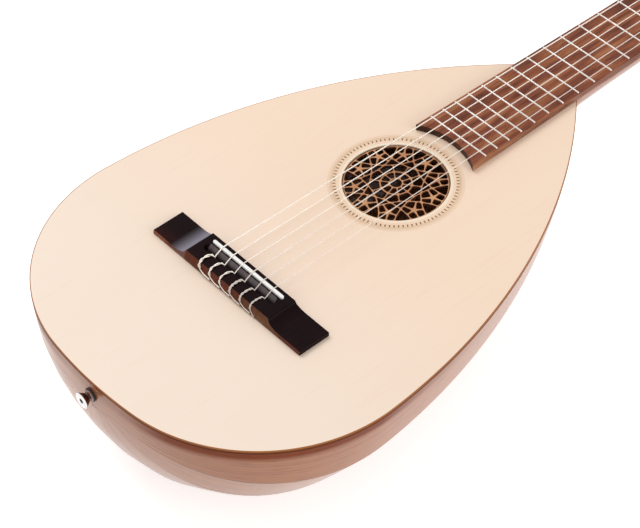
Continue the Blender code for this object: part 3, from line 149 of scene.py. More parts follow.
def woodMaterial(name, look):
    # Slow colour drift, growth bands, fibres and pores, all drawn out along the grain
    mat, tree, shader = newMaterial(name, look)
    if look.get("followsRib"):
        source = addNode(tree, "ShaderNodeAttribute", attribute_name="grain").outputs["Vector"]
    else:
        source = addNode(tree, "ShaderNodeTexCoord").outputs["Object"]
    across, along = look["across"], look["along"]
    drift = objectNoise(tree, source, (look["drift"][0], look["drift"][1], look["drift"][0]), 3.0)
    mapping = addNode(tree, "ShaderNodeMapping", {"Vector": source, "Scale": (across, along, across)})
    bands = addNode(tree, "ShaderNodeTexWave", {
        "Vector": mapping.outputs[0], "Scale": 1.0, "Distortion": look["wander"], "Detail": 2.0,
        "Detail Scale": 1.0}, wave_type="BANDS", bands_direction="X", wave_profile="SAW").outputs[1]
    fibre = objectNoise(tree, source, (across * 2.2, along * 2.0, across * 2.2), 6.0, 0.6)
    pores = objectNoise(tree, source, (look["pore"], look["pore"] * 0.045, look["pore"]), 2.0)
    colour = ramp(tree, drift, look["colours"])
    colour = blend(tree, "MULTIPLY", look["ringAmount"], colour,
                   ramp(tree, bands, ((0.0, (1.0, 1.0, 1.0)), (0.7, (1.0, 1.0, 1.0)), (1.0, look["ring"]))))
    colour = blend(tree, "MULTIPLY", look["fibreAmount"], colour,
                   ramp(tree, fibre, ((0.32, look["fibre"]), (0.62, (1.0, 1.0, 1.0)))))
    dark = blend(tree, "MULTIPLY", 1.0, colour, look["poreColour"])
    colour = blend(tree, "MIX", ramp(tree, pores, ((0.60, (0.0, 0.0, 0.0)), (0.72, (1.0, 1.0, 1.0)))), colour, dark)
    for axis, start, end, shade in look.get("shades", ()):
        colour = blend(tree, "MULTIPLY", alongAxis(tree, axis, start, end), colour, shade)
    # painted sheen: along x a ramp raises reflection and IOR in a band over the bridge's bass cove
    if "sheen" in look:
        sheen = ramp(tree, alongAxis(tree, 0, *look["sheenAt"]), look["sheen"])
        tree.links.new(sheen, shader.inputs["Specular IOR Level"])
        tree.links.new(spread(tree, sheen, 1.45, look["paintedSheenIor"]), shader.inputs["IOR"])
    if "rimPaintedShade" in look:     # painted shade: redder, darker and less glossy towards the top's edge, standing in for a dark reflection there, with a dark line at each joint
        near = alongAxis(tree, 2, -look["rimDeep"], -look["rimFull"])
        sideways = addNode(tree, "ShaderNodeMapRange", {"Value": mathNode(tree, "ABSOLUTE", objectAxis(tree, 0)),
                                                        "From Min": look["rimFrom"][0], "From Max": look["rimFrom"][1],
                                                        "To Min": 0.35}).outputs[0]
        near = mathNode(tree, "MULTIPLY", mathNode(tree, "MULTIPLY", near, sideways), alongAxis(tree, 1, *look["rimUntil"]))
        colour = blend(tree, "MULTIPLY", 1.0, colour, ramp(tree, near, look["rimPaintedShade"]))
        gloss = look["shader"]["Coat Weight"]
        tree.links.new(spread(tree, near, gloss, 0.0), shader.inputs["Coat Weight"])
        tree.links.new(spread(tree, near, 0.5, 0.08), shader.inputs["Specular IOR Level"])
        beside = addNode(tree, "ShaderNodeAttribute", attribute_name="besideJoint").outputs["Fac"]
        onJoint = addNode(tree, "ShaderNodeMapRange", {"Value": beside, "From Max": look["jointWidth"],
                                                       "To Min": 1.0, "To Max": 0.0}).outputs[0]
        travelled = addNode(tree, "ShaderNodeSeparateXYZ", {0: source}).outputs[1]
        fading = addNode(tree, "ShaderNodeMapRange", {"Value": travelled, "From Min": look["jointFade"][0],
                                                      "From Max": look["jointFade"][1], "To Min": 0.2}).outputs[0]
        colour = blend(tree, "MIX", mathNode(tree, "MULTIPLY", onJoint, fading), colour, look["jointColour"])
    if "ringShadeColour" in look:     # painted shade: darker beyond a radius round the soundhole's axis, on the rose's rim under the top's edge
        source = addNode(tree, "ShaderNodeTexCoord").outputs["Object"]
        axis = tuple(lift + Vector((0.0, roseY, 0.0)))
        offset = vectorNode(tree, "MULTIPLY", vectorNode(tree, "SUBTRACT", source, axis), (1.0, 1.0, 0.0))
        beyond = mathNode(tree, "GREATER_THAN", vectorNode(tree, "LENGTH", offset), look["ringRadius"])
        colour = blend(tree, "MIX", beyond, colour, look["ringShadeColour"])
    tree.links.new(colour, shader.inputs["Base Color"])
    tree.links.new(spread(tree, fibre, look["roughness"] * 0.85, look["roughness"] * 1.2), shader.inputs["Roughness"])
    bump = addNode(tree, "ShaderNodeBump", {"Strength": look["bump"], "Distance": 0.0001, "Height": pores})
    tree.links.new(bump.outputs[0], shader.inputs["Normal"])
    return mat


def mottledMaterial(name, look):
    # Metal, bone, plastic and felt: two tones, a changing gloss and a fine bump
    mat, tree, shader = newMaterial(name, look)
    source = addNode(tree, "ShaderNodeTexCoord").outputs["Object"]
    mottle = objectNoise(tree, source, look["scale"], look.get("detail", 3.0))
    tree.links.new(ramp(tree, mottle, ((0.3, look["dark"]), (0.7, look["light"]))), shader.inputs["Base Color"])
    tree.links.new(spread(tree, mottle, look["roughness"] * 0.75, look["roughness"] * 1.3), shader.inputs["Roughness"])
    height, strength = mottle, look.get("bump", 0.0)
    if "winding" in look:     # the fine wire round a bass string
        along = addNode(tree, "ShaderNodeAttribute", attribute_name="along").outputs["Fac"]
        height = mathNode(tree, "SINE", mathNode(tree, "MULTIPLY", along, 2.0 * math.pi / look["winding"]))
    if strength:
        bump = addNode(tree, "ShaderNodeBump", {"Strength": strength, "Distance": 0.0001, "Height": height})
        tree.links.new(bump.outputs[0], shader.inputs["Normal"])
    return mat


spruce = {
    "across": 130.0, "along": 0.9, "drift": (7.0, 1.6), "wander": 0.5,
    "colours": ((0.3, (0.945, 0.782, 0.652)), (0.7, (0.965, 0.806, 0.678))), "shades": ((1, -0.08, 0.12, (1.0, 0.93, 0.86)),),
    "ring": (0.93, 0.86, 0.77), "ringAmount": 0.05, "fibre": (0.95, 0.91, 0.85), "fibreAmount": 0.08,
    "pore": 420.0, "poreColour": (0.988, 0.975, 0.958), "roughness": 0.40, "bump": 0.03,
    "shader": {"Specular IOR Level": 0.30, "Coat Weight": 0.10, "Coat Roughness": 0.25}}
woods = {
    "spruce": spruce,
    # the edge's lower part is darkened as painted shade
    "edge": dict(spruce, across=400.0, shades=((2, -0.0008, -0.0013, (0.45, 0.29, 0.26)),),
                 colours=((0.3, (0.34, 0.125, 0.040)), (0.7, (0.46, 0.180, 0.060))),
                 shader={"Specular IOR Level": 0.08}),
    "pale": dict(spruce, shades=(), colours=((0.3, (0.955, 0.80, 0.62)), (0.7, (0.97, 0.83, 0.65)))),
    "cream": dict(spruce, shades=(), colours=((0.3, (0.91, 0.68, 0.50)), (0.7, (0.94, 0.71, 0.53)))),
    "line": dict(spruce, shades=(), colours=((0.3, (0.62, 0.43, 0.26)), (0.7, (0.70, 0.50, 0.31)))),
    "tan": dict(spruce, shades=(), colours=((0.3, (0.85, 0.61, 0.43)), (0.7, (0.89, 0.65, 0.46)))),
    "outer": dict(spruce, shades=(), colours=((0.3, (0.87, 0.635, 0.46)), (0.7, (0.91, 0.68, 0.50)))),
    "tick": dict(spruce, shades=(), colours=((0.3, (0.17, 0.085, 0.035)), (0.7, (0.25, 0.135, 0.060)))),
    "walnut": {
        "followsRib": True, "across": 85.0, "along": 1.8, "drift": (24.0, 2.2), "wander": 3.0,
        # painted shade under the top's edge, weaker near the middle line and fading out towards the neck
        "rimPaintedShade": ((0.0, (1.0, 1.0, 1.0)), (0.45, (0.80, 0.68, 0.60)), (1.0, (0.56, 0.33, 0.23))),
        "rimDeep": 0.0150, "rimFull": 0.0085, "rimFrom": (0.030, 0.075), "rimUntil": (0.10, -0.02), "jointWidth": 0.0004, "jointFade": (0.02, 0.09), "jointColour": (0.045, 0.018, 0.010),
        "colours": ((0.25, (0.370, 0.128, 0.044)), (0.75, (0.50, 0.203, 0.084))),
        "ring": (0.62, 0.50, 0.43), "ringAmount": 0.50, "fibre": (0.66, 0.54, 0.47), "fibreAmount": 0.50,
        "pore": 900.0, "poreColour": (0.50, 0.41, 0.35), "roughness": 0.28, "bump": 0.05,
        "shader": {"Specular Tint": (0.4, 0.4, 0.4, 1.0), "Coat Weight": 0.35, "Coat Roughness": 0.04}},
    "neck": {
        "across": 55.0, "along": 1.5, "drift": (18.0, 2.0), "wander": 2.0,
        "colours": ((0.25, (0.34, 0.150, 0.096)), (0.75, (0.50, 0.255, 0.175))),
        "ring": (0.65, 0.50, 0.42), "ringAmount": 0.4, "fibre": (0.65, 0.52, 0.45), "fibreAmount": 0.5,
        "pore": 1000.0, "poreColour": (0.50, 0.42, 0.36), "roughness": 0.32, "bump": 0.10,
        "shader": {"Coat Weight": 0.7, "Coat Roughness": 0.12}},
    "board": {
        "across": 170.0, "along": 10.0, "drift": (170.0, 26.0), "wander": 4.0,
        "colours": ((0.36, (0.190, 0.058, 0.033)), (0.48, (0.29, 0.090, 0.045)), (0.56, (0.36, 0.122, 0.056)),
                    (0.66, (0.44, 0.180, 0.083))),
        "ring": (0.50, 0.36, 0.30), "ringAmount": 0.5, "fibre": (0.46, 0.34, 0.30), "fibreAmount": 0.55,
        "pore": 1400.0, "poreColour": (0.35, 0.28, 0.25), "roughness": 0.42, "bump": 0.3,
        "shader": {"Specular Tint": (0.1, 0.1, 0.1, 1.0)}},
    "bridge": {
        "across": 60.0, "along": 60.0, "drift": (16.0, 30.0), "wander": 3.0,
        "colours": ((0.35, (0.010, 0.0040, 0.0042)), (0.60, (0.016, 0.0055, 0.0055)), (0.80, (0.055, 0.010, 0.007))),
        "ring": (0.7, 0.5, 0.45), "ringAmount": 0.4, "fibre": (0.6, 0.5, 0.5), "fibreAmount": 0.4,
        # painted sheen over the bass cove, its reflection tinted lilac, with weak reflection elsewhere
        "pore": 1200.0, "poreColour": (0.6, 0.5, 0.5), "roughness": 0.20, "bump": 0.04, "sheenAt": (-0.070, -0.045),
        "paintedSheenIor": 2.6,
        "sheen": ((0.20, (0.06, 0.06, 0.06)), (0.70, (1.0, 1.0, 1.0)), (0.895, (1.0, 1.0, 1.0)), (0.905, (0.06, 0.06, 0.06))),
        "shader": {"Specular Tint": (0.60, 0.56, 0.68, 1.0)}},
    "rose": {
        "across": 160.0, "along": 6.0, "drift": (60.0, 14.0), "wander": 3.0,
        "colours": ((0.3, (0.50, 0.200, 0.070)), (0.7, (0.74, 0.400, 0.190))),
        "ring": (0.75, 0.62, 0.5), "ringAmount": 0.4, "fibre": (0.75, 0.62, 0.52), "fibreAmount": 0.4,
        "pore": 1500.0, "poreColour": (0.6, 0.5, 0.4), "roughness": 0.5, "bump": 0.2,
        "ringRadius": 0.0418, "ringShadeColour": (0.16, 0.060, 0.026)},
    # painted shade for the rose's walls
    "roseWallShade": {
        "across": 160.0, "along": 6.0, "drift": (60.0, 14.0), "wander": 3.0,
        "colours": ((0.3, (0.040, 0.012, 0.006)), (0.7, (0.11, 0.036, 0.016))),
        "ring": (0.75, 0.62, 0.5), "ringAmount": 0.4, "fibre": (0.75, 0.62, 0.52), "fibreAmount": 0.4,
        "pore": 1500.0, "poreColour": (0.6, 0.5, 0.4), "roughness": 0.7, "bump": 0.2,
        "shader": {"Specular IOR Level": 0.2}},
    "inner": {
        "across": 110.0, "along": 1.5, "drift": (12.0, 2.0), "wander": 1.0,
        "colours": ((0.3, (0.55, 0.38, 0.22)), (0.7, (0.66, 0.47, 0.28))),
        "ring": (0.75, 0.6, 0.45), "ringAmount": 0.6, "fibre": (0.8, 0.7, 0.6), "fibreAmount": 0.4,
        "pore": 700.0, "poreColour": (0.8, 0.7, 0.6), "roughness": 0.75, "bump": 0.3}}
others = {
    "brass": {"scale": (300, 40, 300), "dark": (0.62, 0.42, 0.16), "light": (0.84, 0.62, 0.28), "roughness": 0.20,
              "shader": {"Metallic": 1.0}},
    "steel": {"scale": (400, 400, 60), "dark": (0.52, 0.52, 0.53), "light": (0.76, 0.76, 0.77), "roughness": 0.22,
              "shader": {"Metallic": 1.0}},
    "chrome": {"scale": (200, 200, 200), "dark": (0.58, 0.57, 0.57), "light": (0.76, 0.75, 0.75), "roughness": 0.07,
               "shader": {"Metallic": 1.0}},
    "fret": {"scale": (60, 600, 600), "dark": (0.80, 0.74, 0.69), "light": (0.93, 0.87, 0.81), "roughness": 0.30,
             "shader": {"Metallic": 0.45}},
    "wound": {"scale": (500, 500, 500), "dark": (0.90, 0.82, 0.72), "light": (0.98, 0.91, 0.82), "roughness": 0.32,
              "bump": 0.25, "winding": 0.00024, "shader": {"Metallic": 0.4}},
    "nylon": {"scale": (60, 60, 60), "dark": (0.95, 0.86, 0.77), "light": (0.98, 0.91, 0.83), "roughness": 0.25,
              "shader": {"Alpha": 0.6}},
    "bone": {"scale": (160, 160, 160), "dark": (0.93, 0.915, 0.885), "light": (0.965, 0.955, 0.93), "roughness": 0.30,
             "bump": 0.03, "shader": {"Specular IOR Level": 0.40}},
    "ivory": {"scale": (90, 90, 90), "dark": (0.72, 0.65, 0.52), "light": (0.87, 0.82, 0.71), "roughness": 0.20,
              "shader": {"Coat Weight": 0.5, "Coat Roughness": 0.08}},
    "felt": {"scale": (2400, 2400, 2400), "detail": 5.0, "dark": (0.005, 0.005, 0.005), "light": (0.030, 0.030, 0.031),
             "roughness": 0.95, "bump": 0.8, "shader": {"Sheen Weight": 0.3}},
    "shadedChrome": {"scale": (200, 200, 200), "dark": (0.13, 0.070, 0.060), "light": (0.25, 0.15, 0.13), "roughness": 0.12,
                     "shader": {"Metallic": 1.0}},
    "shadow": {"scale": (300, 300, 300), "dark": (0.010, 0.010, 0.010), "light": (0.020, 0.020, 0.020), "roughness": 0.6}}
# a darker copy of the rose wood, painted shade for its eased edges
woods["roseBevelShade"] = dict(woods["rose"], colours=((0.3, (0.17, 0.062, 0.022)), (0.7, (0.30, 0.120, 0.045))))
woods["boardEndShade"] = dict(woods["board"], colours=((0.3, (0.050, 0.022, 0.015)), (0.7, (0.110, 0.048, 0.032))), roughness=0.6)
woods["boardSide"] = dict(woods["board"], colours=((0.3, (0.36, 0.155, 0.080)), (0.7, (0.56, 0.290, 0.165))),
                          shades=((1, 0.205, 0.270, (0.62, 0.52, 0.55)),))
# the trough's front wall: a lighter grey as painted reflection, with painted shade deeper down
woods["troughWall"] = dict(woods["bridge"], colours=((0.3, (0.14, 0.115, 0.120)), (0.7, (0.19, 0.160, 0.165))), roughness=0.6,
                           pore=2600.0, poreColour=(0.85, 0.82, 0.82), paintedSheenIor=1.45,
                           shades=((2, 0.0070, 0.0052, (0.12, 0.10, 0.10)),))
woods["bridgeBackLit"] = dict(woods["bridge"], colours=((0.34, (0.19, 0.095, 0.050)), (0.46, (0.13, 0.042, 0.024)),
                                                     (0.60, (0.15, 0.045, 0.026)), (0.72, (0.34, 0.120, 0.065))),
                           roughness=0.35, pore=2600.0, poreColour=(0.82, 0.76, 0.74), paintedSheenIor=1.45)
finishes = {key: woodMaterial(key + "Wood", look) for key, look in woods.items()}
finishes.update({key: mottledMaterial(key + "Finish", look) for key, look in others.items()})
print("finishes made")


# Helpers for shapes

def tidy(mesh):
    # Doubles merged and faces turned outwards
    work = bmesh.new()
    work.from_mesh(mesh)
    bmesh.ops.remove_doubles(work, verts=work.verts, dist=1e-7)
    bmesh.ops.recalc_face_normals(work, faces=work.faces)
    work.to_mesh(mesh)
    work.free()
    return mesh


def meshFrom(name, points, faces):
    mesh = bpy.data.meshes.new(name)
    mesh.from_pydata([tuple(p) for p in points], [], faces)
    return tidy(mesh)


def loft(name, rings, closed=True, caps=True):
    count = len(rings[0])
    faces = []
    for r in range(len(rings) - 1):
        for k in range(count if closed else count - 1):
            n = (k + 1) % count
            faces.append((r * count + k, r * count + n, (r + 1) * count + n, (r + 1) * count + k))
    if caps:
        faces.append(tuple(range(count)))
        faces.append(tuple((len(rings) - 1) * count + k for k in range(count)))
    return meshFrom(name, [p for ring in rings for p in ring], faces)


def lathe(name, profile, sides, closed=False):
    # Profile of (radius, height) turned round z
    rings = [[Vector((r * math.cos(2 * math.pi * k / sides), r * math.sin(2 * math.pi * k / sides), h))
              for k in range(sides)] for r, h in profile]
    return loft(name, rings + rings[:1] if closed else rings, True, not closed)


def moved(mesh, *matrices):
    for matrix in matrices:
        mesh.transform(matrix)
        if matrix.determinant() < 0.0:
            mesh.flip_normals()
    return mesh


def shift(x=0.0, y=0.0, z=0.0):
    return Matrix.Translation((x, y, z))


# A plan drawing stood up: its x runs along y and its height along x, or its x along x and its height along z
sideways = Matrix(((0.0, 0.0, 1.0, 0.0), (1.0, 0.0, 0.0, 0.0), (0.0, 1.0, 0.0, 0.0), (0.0, 0.0, 0.0, 1.0)))
upright = Matrix(((1.0, 0.0, 0.0, 0.0), (0.0, 0.0, -1.0, 0.0), (0.0, 1.0, 0.0, 0.0), (0.0, 0.0, 0.0, 1.0)))


def joined(name, meshes):
    work = bmesh.new()
    for mesh in meshes:
        work.from_mesh(mesh)
        bpy.data.meshes.remove(mesh)
    mesh = bpy.data.meshes.new(name)
    work.to_mesh(mesh)
    work.free()
    return mesh


def offsetLoop(points, distance):
    # A closed outline moved to its left
    if not distance:
        return points
    result = []
    for k, here in enumerate(points):
        back, on = (here - points[k - 1]).normalized(), (points[(k + 1) % len(points)] - here).normalized()
        first, second = Vector((-back.y, back.x)), Vector((-on.y, on.x))
        middle = (first + second).normalized()
        result.append(here + middle * (distance / max(middle.dot(first), 0.6)))
    return result


def cleanLoop(outline, anticlockwise):
    loop = []
    for point in outline:
        point = Vector((point[0], point[1]))
        if not loop or (point - loop[-1]).length > 2e-6:
            loop.append(point)
    if (loop[0] - loop[-1]).length < 2e-6:
        loop.pop()
    area = sum(loop[k - 1].x * p.y - p.x * loop[k - 1].y for k, p in enumerate(loop))
    return loop if (area > 0.0) == anticlockwise else loop[::-1]


def cutPlate(name, outlines, low, high, ease=0.0):
    # A flat piece with holes and softened edges; the first outline is its edge
    levels = [(ease, low), (ease * 0.29, low + ease * 0.29), (0.0, low + ease),
              (0.0, high - ease), (ease * 0.29, high - ease * 0.29), (ease, high)] if ease else [(0.0, low), (0.0, high)]
    points, faces, flat, borders = [], [], [], []
    rows = (len(levels) - 1)
    for number, outline in enumerate(outlines):
        loop = cleanLoop(outline, number == 0)
        start, count = len(points), len(loop)
        for inset, z in levels:
            points += [(p.x, p.y, z) for p in offsetLoop(loop, inset)]
        for r in range(rows):
            for k in range(count):
                a, b = start + r * count + k, start + r * count + (k + 1) % count
                faces.append((a, b, b + count, a + count))
        border = [(start + k, start + rows * count + k) for k in range(count)]
        borders.append(list(range(len(flat), len(flat) + count)))
        flat += border if number == 0 else border[::-1]
    spots = [Vector(points[over][:2]) for _, over in flat]
    _, _, triangles, origins, _, inside = delaunay_2d_cdt(spots, [], borders, 1, 1e-9)
    for triangle, owners in zip(triangles, inside):
        if owners == [0] and all(origins[i] for i in triangle):
            faces.append(tuple(flat[origins[i][0]][0] for i in reversed(triangle)))
            faces.append(tuple(flat[origins[i][0]][1] for i in triangle))
    return meshFrom(name, points, faces)


def circleLoop(radius, x=0.0, y=0.0, sides=48):
    return [(x + radius * math.cos(2 * math.pi * k / sides), y + radius * math.sin(2 * math.pi * k / sides))
            for k in range(sides)]


def stadiumLoop(halfX, halfY, x=0.0, y=0.0, sides=16):
    # Round-ended slot, long along whichever half is larger
    radius = min(halfX, halfY)
    points = []
    for k in range(2 * sides + 2):
        angle = math.pi * (k - (1 if k > sides else 0)) / sides
        if halfX > halfY:
            angle -= math.pi / 2.0
        reachX, reachY = halfX - radius, halfY - radius
        signX = (1.0 if k <= sides else -1.0) if reachX > 0.0 else 0.0
        signY = (1.0 if k <= sides else -1.0) if reachY > 0.0 else 0.0
        points.append((x + reachX * signX + radius * math.cos(angle), y + reachY * signY + radius * math.sin(angle)))
    return points


def smoothPath(points, steps):
    # Curve through the points
    ends = [points[0] * 2.0 - points[1]] + list(points) + [points[-1] * 2.0 - points[-2]]
    path = []
    for i in range(len(points) - 1):
        a, b, c, d = ends[i:i + 4]
        for k in range(steps):
            t = k / steps
            path.append((b * 2.0 + (c - a) * t + (a * 2.0 - b * 5.0 + c * 4.0 - d) * t * t
                         + (b * 3.0 - a - c * 3.0 + d) * t ** 3) / 2.0)
    return path + [points[-1]]


def curveValue(rows, place):
    # Smooth value between rows of (place, value) that never swings past them
    slopes = [(b[1] - a[1]) / (b[0] - a[0]) for a, b in zip(rows, rows[1:])]
    turns = [slopes[0]] + [0.0 if a * b <= 0.0 else 2.0 * a * b / (a + b) for a, b in zip(slopes, slopes[1:])] + [slopes[-1]]
    for k in range(len(rows) - 1):
        if place <= rows[k + 1][0] or k == len(rows) - 2:
            width = rows[k + 1][0] - rows[k][0]
            t = min(max((place - rows[k][0]) / width, 0.0), 1.0)
            return (rows[k][1] * (1 + 2 * t) * (1 - t) ** 2 + turns[k] * width * t * (1 - t) ** 2
                    + rows[k + 1][1] * t * t * (3 - 2 * t) + turns[k + 1] * width * t * t * (t - 1))


def evaluated(source, name):
    # The object's finished mesh; the object itself goes
    bpy.context.view_layer.update()
    mesh = bpy.data.meshes.new_from_object(source.evaluated_get(bpy.context.evaluated_depsgraph_get()))
    mesh.name = name
    bpy.data.objects.remove(source, do_unlink=True)
    return mesh


def newObject(name, data):
    item = bpy.data.objects.new(name, data)
    bpy.context.collection.objects.link(item)
    return item


def carved(name, mesh, cutterGroups=(), ease=0.0, angle=35, segments=2):
    # Cuts, then eased edges, with the flat faces kept flat in the shading
    mesh.shade_smooth()
    item = newObject(name, mesh)
    cutters = []
    for meshes in cutterGroups:
        cutters.append(newObject(name + "Cutter", joined(name + "Cutter", meshes)))
        cut = item.modifiers.new("cut", "BOOLEAN")
        cut.operation, cut.solver, cut.object = "DIFFERENCE", "EXACT", cutters[-1]
    if ease:
        bevel = item.modifiers.new("ease", "BEVEL")
        bevel.width, bevel.segments = ease, segments
        bevel.limit_method, bevel.angle_limit = "ANGLE", math.radians(angle)
    weighted = item.modifiers.new("flatFaces", "WEIGHTED_NORMAL")
    weighted.keep_sharp = True
    result = evaluated(item, name)
    for cutter in cutters:
        bpy.data.objects.remove(cutter, do_unlink=True)
    return result


def addPiece(name, mesh, finish=None, replaced=(), rides="instrument", angle=35):
    piece = newObject(name, mesh)
    if finish:
        mesh.materials.clear()
        mesh.materials.append(finishes[finish])
    if angle:
        mesh.shade_smooth()
        mesh.set_sharp_from_angle(angle=math.radians(angle))
    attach(piece, rides)
    if replaced:
        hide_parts(*replaced)
    return piece


def paint(piece, finish, picks):
    # Another finish on the faces that picks chooses by their middle, in the instrument's own frame, and their normal
    piece.data.materials.append(finishes[finish])
    for face in piece.data.polygons:
        if picks(face.center - lift, face.normal):
            face.material_index = len(piece.data.materials) - 1


# Helpers for geometry nodes

def newTree(name, inputs):
    tree = bpy.data.node_groups.new(name, "GeometryNodeTree")
    tree.interface.new_socket("Geometry", in_out="INPUT", socket_type="NodeSocketGeometry")
    sockets = {}
    for label, kind, value in inputs:
        socket = tree.interface.new_socket(label, in_out="INPUT", socket_type="NodeSocket" + kind)
        if value is not None:
            socket.default_value = value
        sockets[label] = socket.identifier
    tree.interface.new_socket("Geometry", in_out="OUTPUT", socket_type="NodeSocketGeometry")
    return tree, tree.nodes.new("NodeGroupInput").outputs, sockets


def endTree(tree, geometry, finish):
    realized = addNode(tree, "GeometryNodeRealizeInstances", {0: geometry}).outputs[0]
    finish = finishes[finish] if isinstance(finish, str) else finish
    coloured = addNode(tree, "GeometryNodeSetMaterial", {"Geometry": realized, "Material": finish}).outputs[0]
    tree.links.new(coloured, tree.nodes.new("NodeGroupOutput").inputs[0])


def treeMesh(name, recipe, values, data=None):
    # Runs a tree on some geometry and hands back the plain mesh
    tree, _, sockets = recipe
    holder = newObject(name, data or bpy.data.meshes.new(name))
    modifier = holder.modifiers.new(name, "NODES")
    modifier.node_group = tree
    for label, value in values.items():
        modifier[sockets[label]] = value
    return evaluated(holder, name)


def patternObject(name, mesh):
    mesh.shade_smooth()
    return newObject(name, mesh)


# Outline of the body, and the bowl's joint lines

sideReach, narrowing = body["jointY"] - body["widestY"], body["halfWidth"] - body["shoulder"]
sideArc = (sideReach ** 2 + narrowing ** 2) / (2.0 * narrowing)


def outlineCentres():
    side = Vector((body["halfWidth"] - sideArc, body["widestY"]))
    tail = Vector((0.0, body["tailY"] + body["tailArc"]))
    reachSide, reachTail = sideArc - body["hipArc"], body["tailArc"] - body["hipArc"]
    between = tail - side
    along = (reachSide ** 2 - reachTail ** 2 + between.length_squared) / (2.0 * between.length)
    across = math.sqrt(reachSide ** 2 - along ** 2)
    middle = side + between * (along / between.length)
    normal = Vector((-between.y, between.x)).normalized()
    return side, max((middle + normal * across, middle - normal * across), key=lambda p: p.x), tail


sideCentre, hipCentre, tailCentre = outlineCentres()
tailTurn = math.atan2(*(hipCentre - tailCentre).yx)
sideTurn = math.atan2(*(hipCentre - sideCentre).yx)
tailSpan = body["tailArc"] * (tailTurn + math.pi / 2.0)
hipSpan = body["hipArc"] * (sideTurn - tailTurn)


def outlinePoint(travel):
    # From the tail's middle along the treble side, travel in metres
    if travel < tailSpan:
        centre, radius, angle = tailCentre, body["tailArc"], -math.pi / 2.0 + travel / body["tailArc"]
    elif travel < tailSpan + hipSpan:
        centre, radius, angle = hipCentre, body["hipArc"], tailTurn + (travel - tailSpan) / body["hipArc"]
    else:
        centre, radius, angle = sideCentre, sideArc, sideTurn + (travel - tailSpan - hipSpan) / sideArc
    return Vector((centre.x + radius * math.cos(angle), centre.y + radius * math.sin(angle)))


lastTravel = tailSpan + hipSpan + sideArc * (
    math.asin((body["jointY"] - body["fitGap"] - sideCentre.y) / sideArc) - sideTurn)


def depthRatio(y):
    places = (body["tailY"], body["widestY"], body["jointY"])
    value = 0.0
    for i in range(3):
        term = body["ratios"][i]
        for j in range(3):
            if i != j:
                term *= (y - places[j]) / (places[i] - places[j])
        value += term
    return value


def bowlPoint(travel, turn):
    # turn runs from 0 at the treble rim to 1 at the bass rim
    halfWidth, y = outlinePoint(travel)
    if turn <= 0.0 or turn >= 1.0:
        return Vector((halfWidth if turn <= 0.0 else -halfWidth, y, -body["topThickness"] - body["fitGap"]))
    centre = body["meetDrop"] * math.exp(-travel / body["meetReach"])
    depth = halfWidth * depthRatio(y) + body["topThickness"]
    height = (depth ** body["meetBlend"] + body["meetDrop"] ** body["meetBlend"]) ** (1.0 / body["meetBlend"]) - centre
    angle, power = math.pi * turn, 2.0 / body["fullness"]
    x = halfWidth * math.copysign(abs(math.cos(angle)) ** power, math.cos(angle))
    return Vector((x, y, -(centre + height * math.sin(angle) ** power)))


# Soundboard, with the stained edge that shows as a thin brown line, its lower part darkened as painted shade

soundboard = {"steps": 160, "ease": 0.0003, "edgeWidth": 0.0007, "holeRadius": 0.05432}


def bodyOutline(inset):
    right = [outlinePoint(lastTravel * i / soundboard["steps"]) for i in range(soundboard["steps"] + 1)]
    ahead = [outlinePoint(lastTravel * i / soundboard["steps"] + 0.001) for i in range(soundboard["steps"] + 1)]
    half = [p - Vector(((q - p).y, -(q - p).x)).normalized() * inset for p, q in zip(right, ahead)]
    half[0].x = 0.0
    return half + [Vector((-p.x, p.y)) for p in reversed(half[1:])]


topMesh = cutPlate("soundboardPlate", [bodyOutline(soundboard["edgeWidth"]),
                                       circleLoop(soundboard["holeRadius"], 0.0, roseY, 180)],
                   -body["topThickness"], 0.0, 0.00004)
addPiece("soundboardFine", moved(topMesh, stand), "spruce", ("soundboard",), angle=20)

outside, inside = bodyOutline(0.0), bodyOutline(soundboard["edgeWidth"])
middle = bodyOutline(soundboard["ease"] * 0.3)
eased = bodyOutline(soundboard["ease"])
edgeRings = []
for a, b, c, d in zip(outside, middle, eased, inside):
    thick, ease = -body["topThickness"], soundboard["ease"]
    edgeRings.append([(*d, thick), (*a, thick), (*a, -ease), (*b, -ease * 0.3), (*c, 0.0), (*d, 0.0)])
edgeMesh = loft("soundboardEdge", edgeRings + edgeRings[:1], True, False)
addPiece("soundboardEdge", moved(edgeMesh, stand), "edge", angle=30)
print("soundboard done")

# Rose: a ten-fold lattice of arcs, spokes and small flowers

rose = {
    "hole": 0.0430, "recess": 0.0012, "thickness": 0.0026, "ease": 0.00034,
    "fold": 10, "field": 0.0412, "arc": 0.055, "nearest": 0.0207, "eye": 0.0045, "eyeBand": 0.0014,
    "ring": 0.0129, "band": 0.0012, "spoke": 0.0011, "flower": 0.0329, "flowerSpoke": 0.0010,
    "star": 0.0019, "corner": 0.0019}


def toward(angle, length=1.0):
    return Vector((math.cos(angle) * length, math.sin(angle) * length))


def crossing(first, second, near):
    # Walls are ("line", point, direction) or ("circle", centre, radius)
    if first[0] == "line" and second[0] == "line":
        p, d, q, e = first[1], first[2], second[1], second[2]
        return p + d * (((q.x - p.x) * e.y - (q.y - p.y) * e.x) / (d.x * e.y - d.y * e.x))
    if first[0] == "circle" and second[0] == "circle":
        between = second[1] - first[1]
        along = (first[2] ** 2 - second[2] ** 2 + between.length_squared) / (2.0 * between.length)
        across = math.sqrt(max(first[2] ** 2 - along ** 2, 0.0))
        middle = first[1] + between * (along / between.length)
        normal = Vector((-between.y, between.x)).normalized()
        options = (middle + normal * across, middle - normal * across)
    else:
        line, circle = (first, second) if first[0] == "line" else (second, first)
        offset = line[1] - circle[1]
        b = offset.dot(line[2])
        root = math.sqrt(max(b * b - offset.length_squared + circle[2] ** 2, 0.0))
        options = (line[1] + line[2] * (-b + root), line[1] + line[2] * (-b - root))
    return min(options, key=lambda p: (p - near).length)


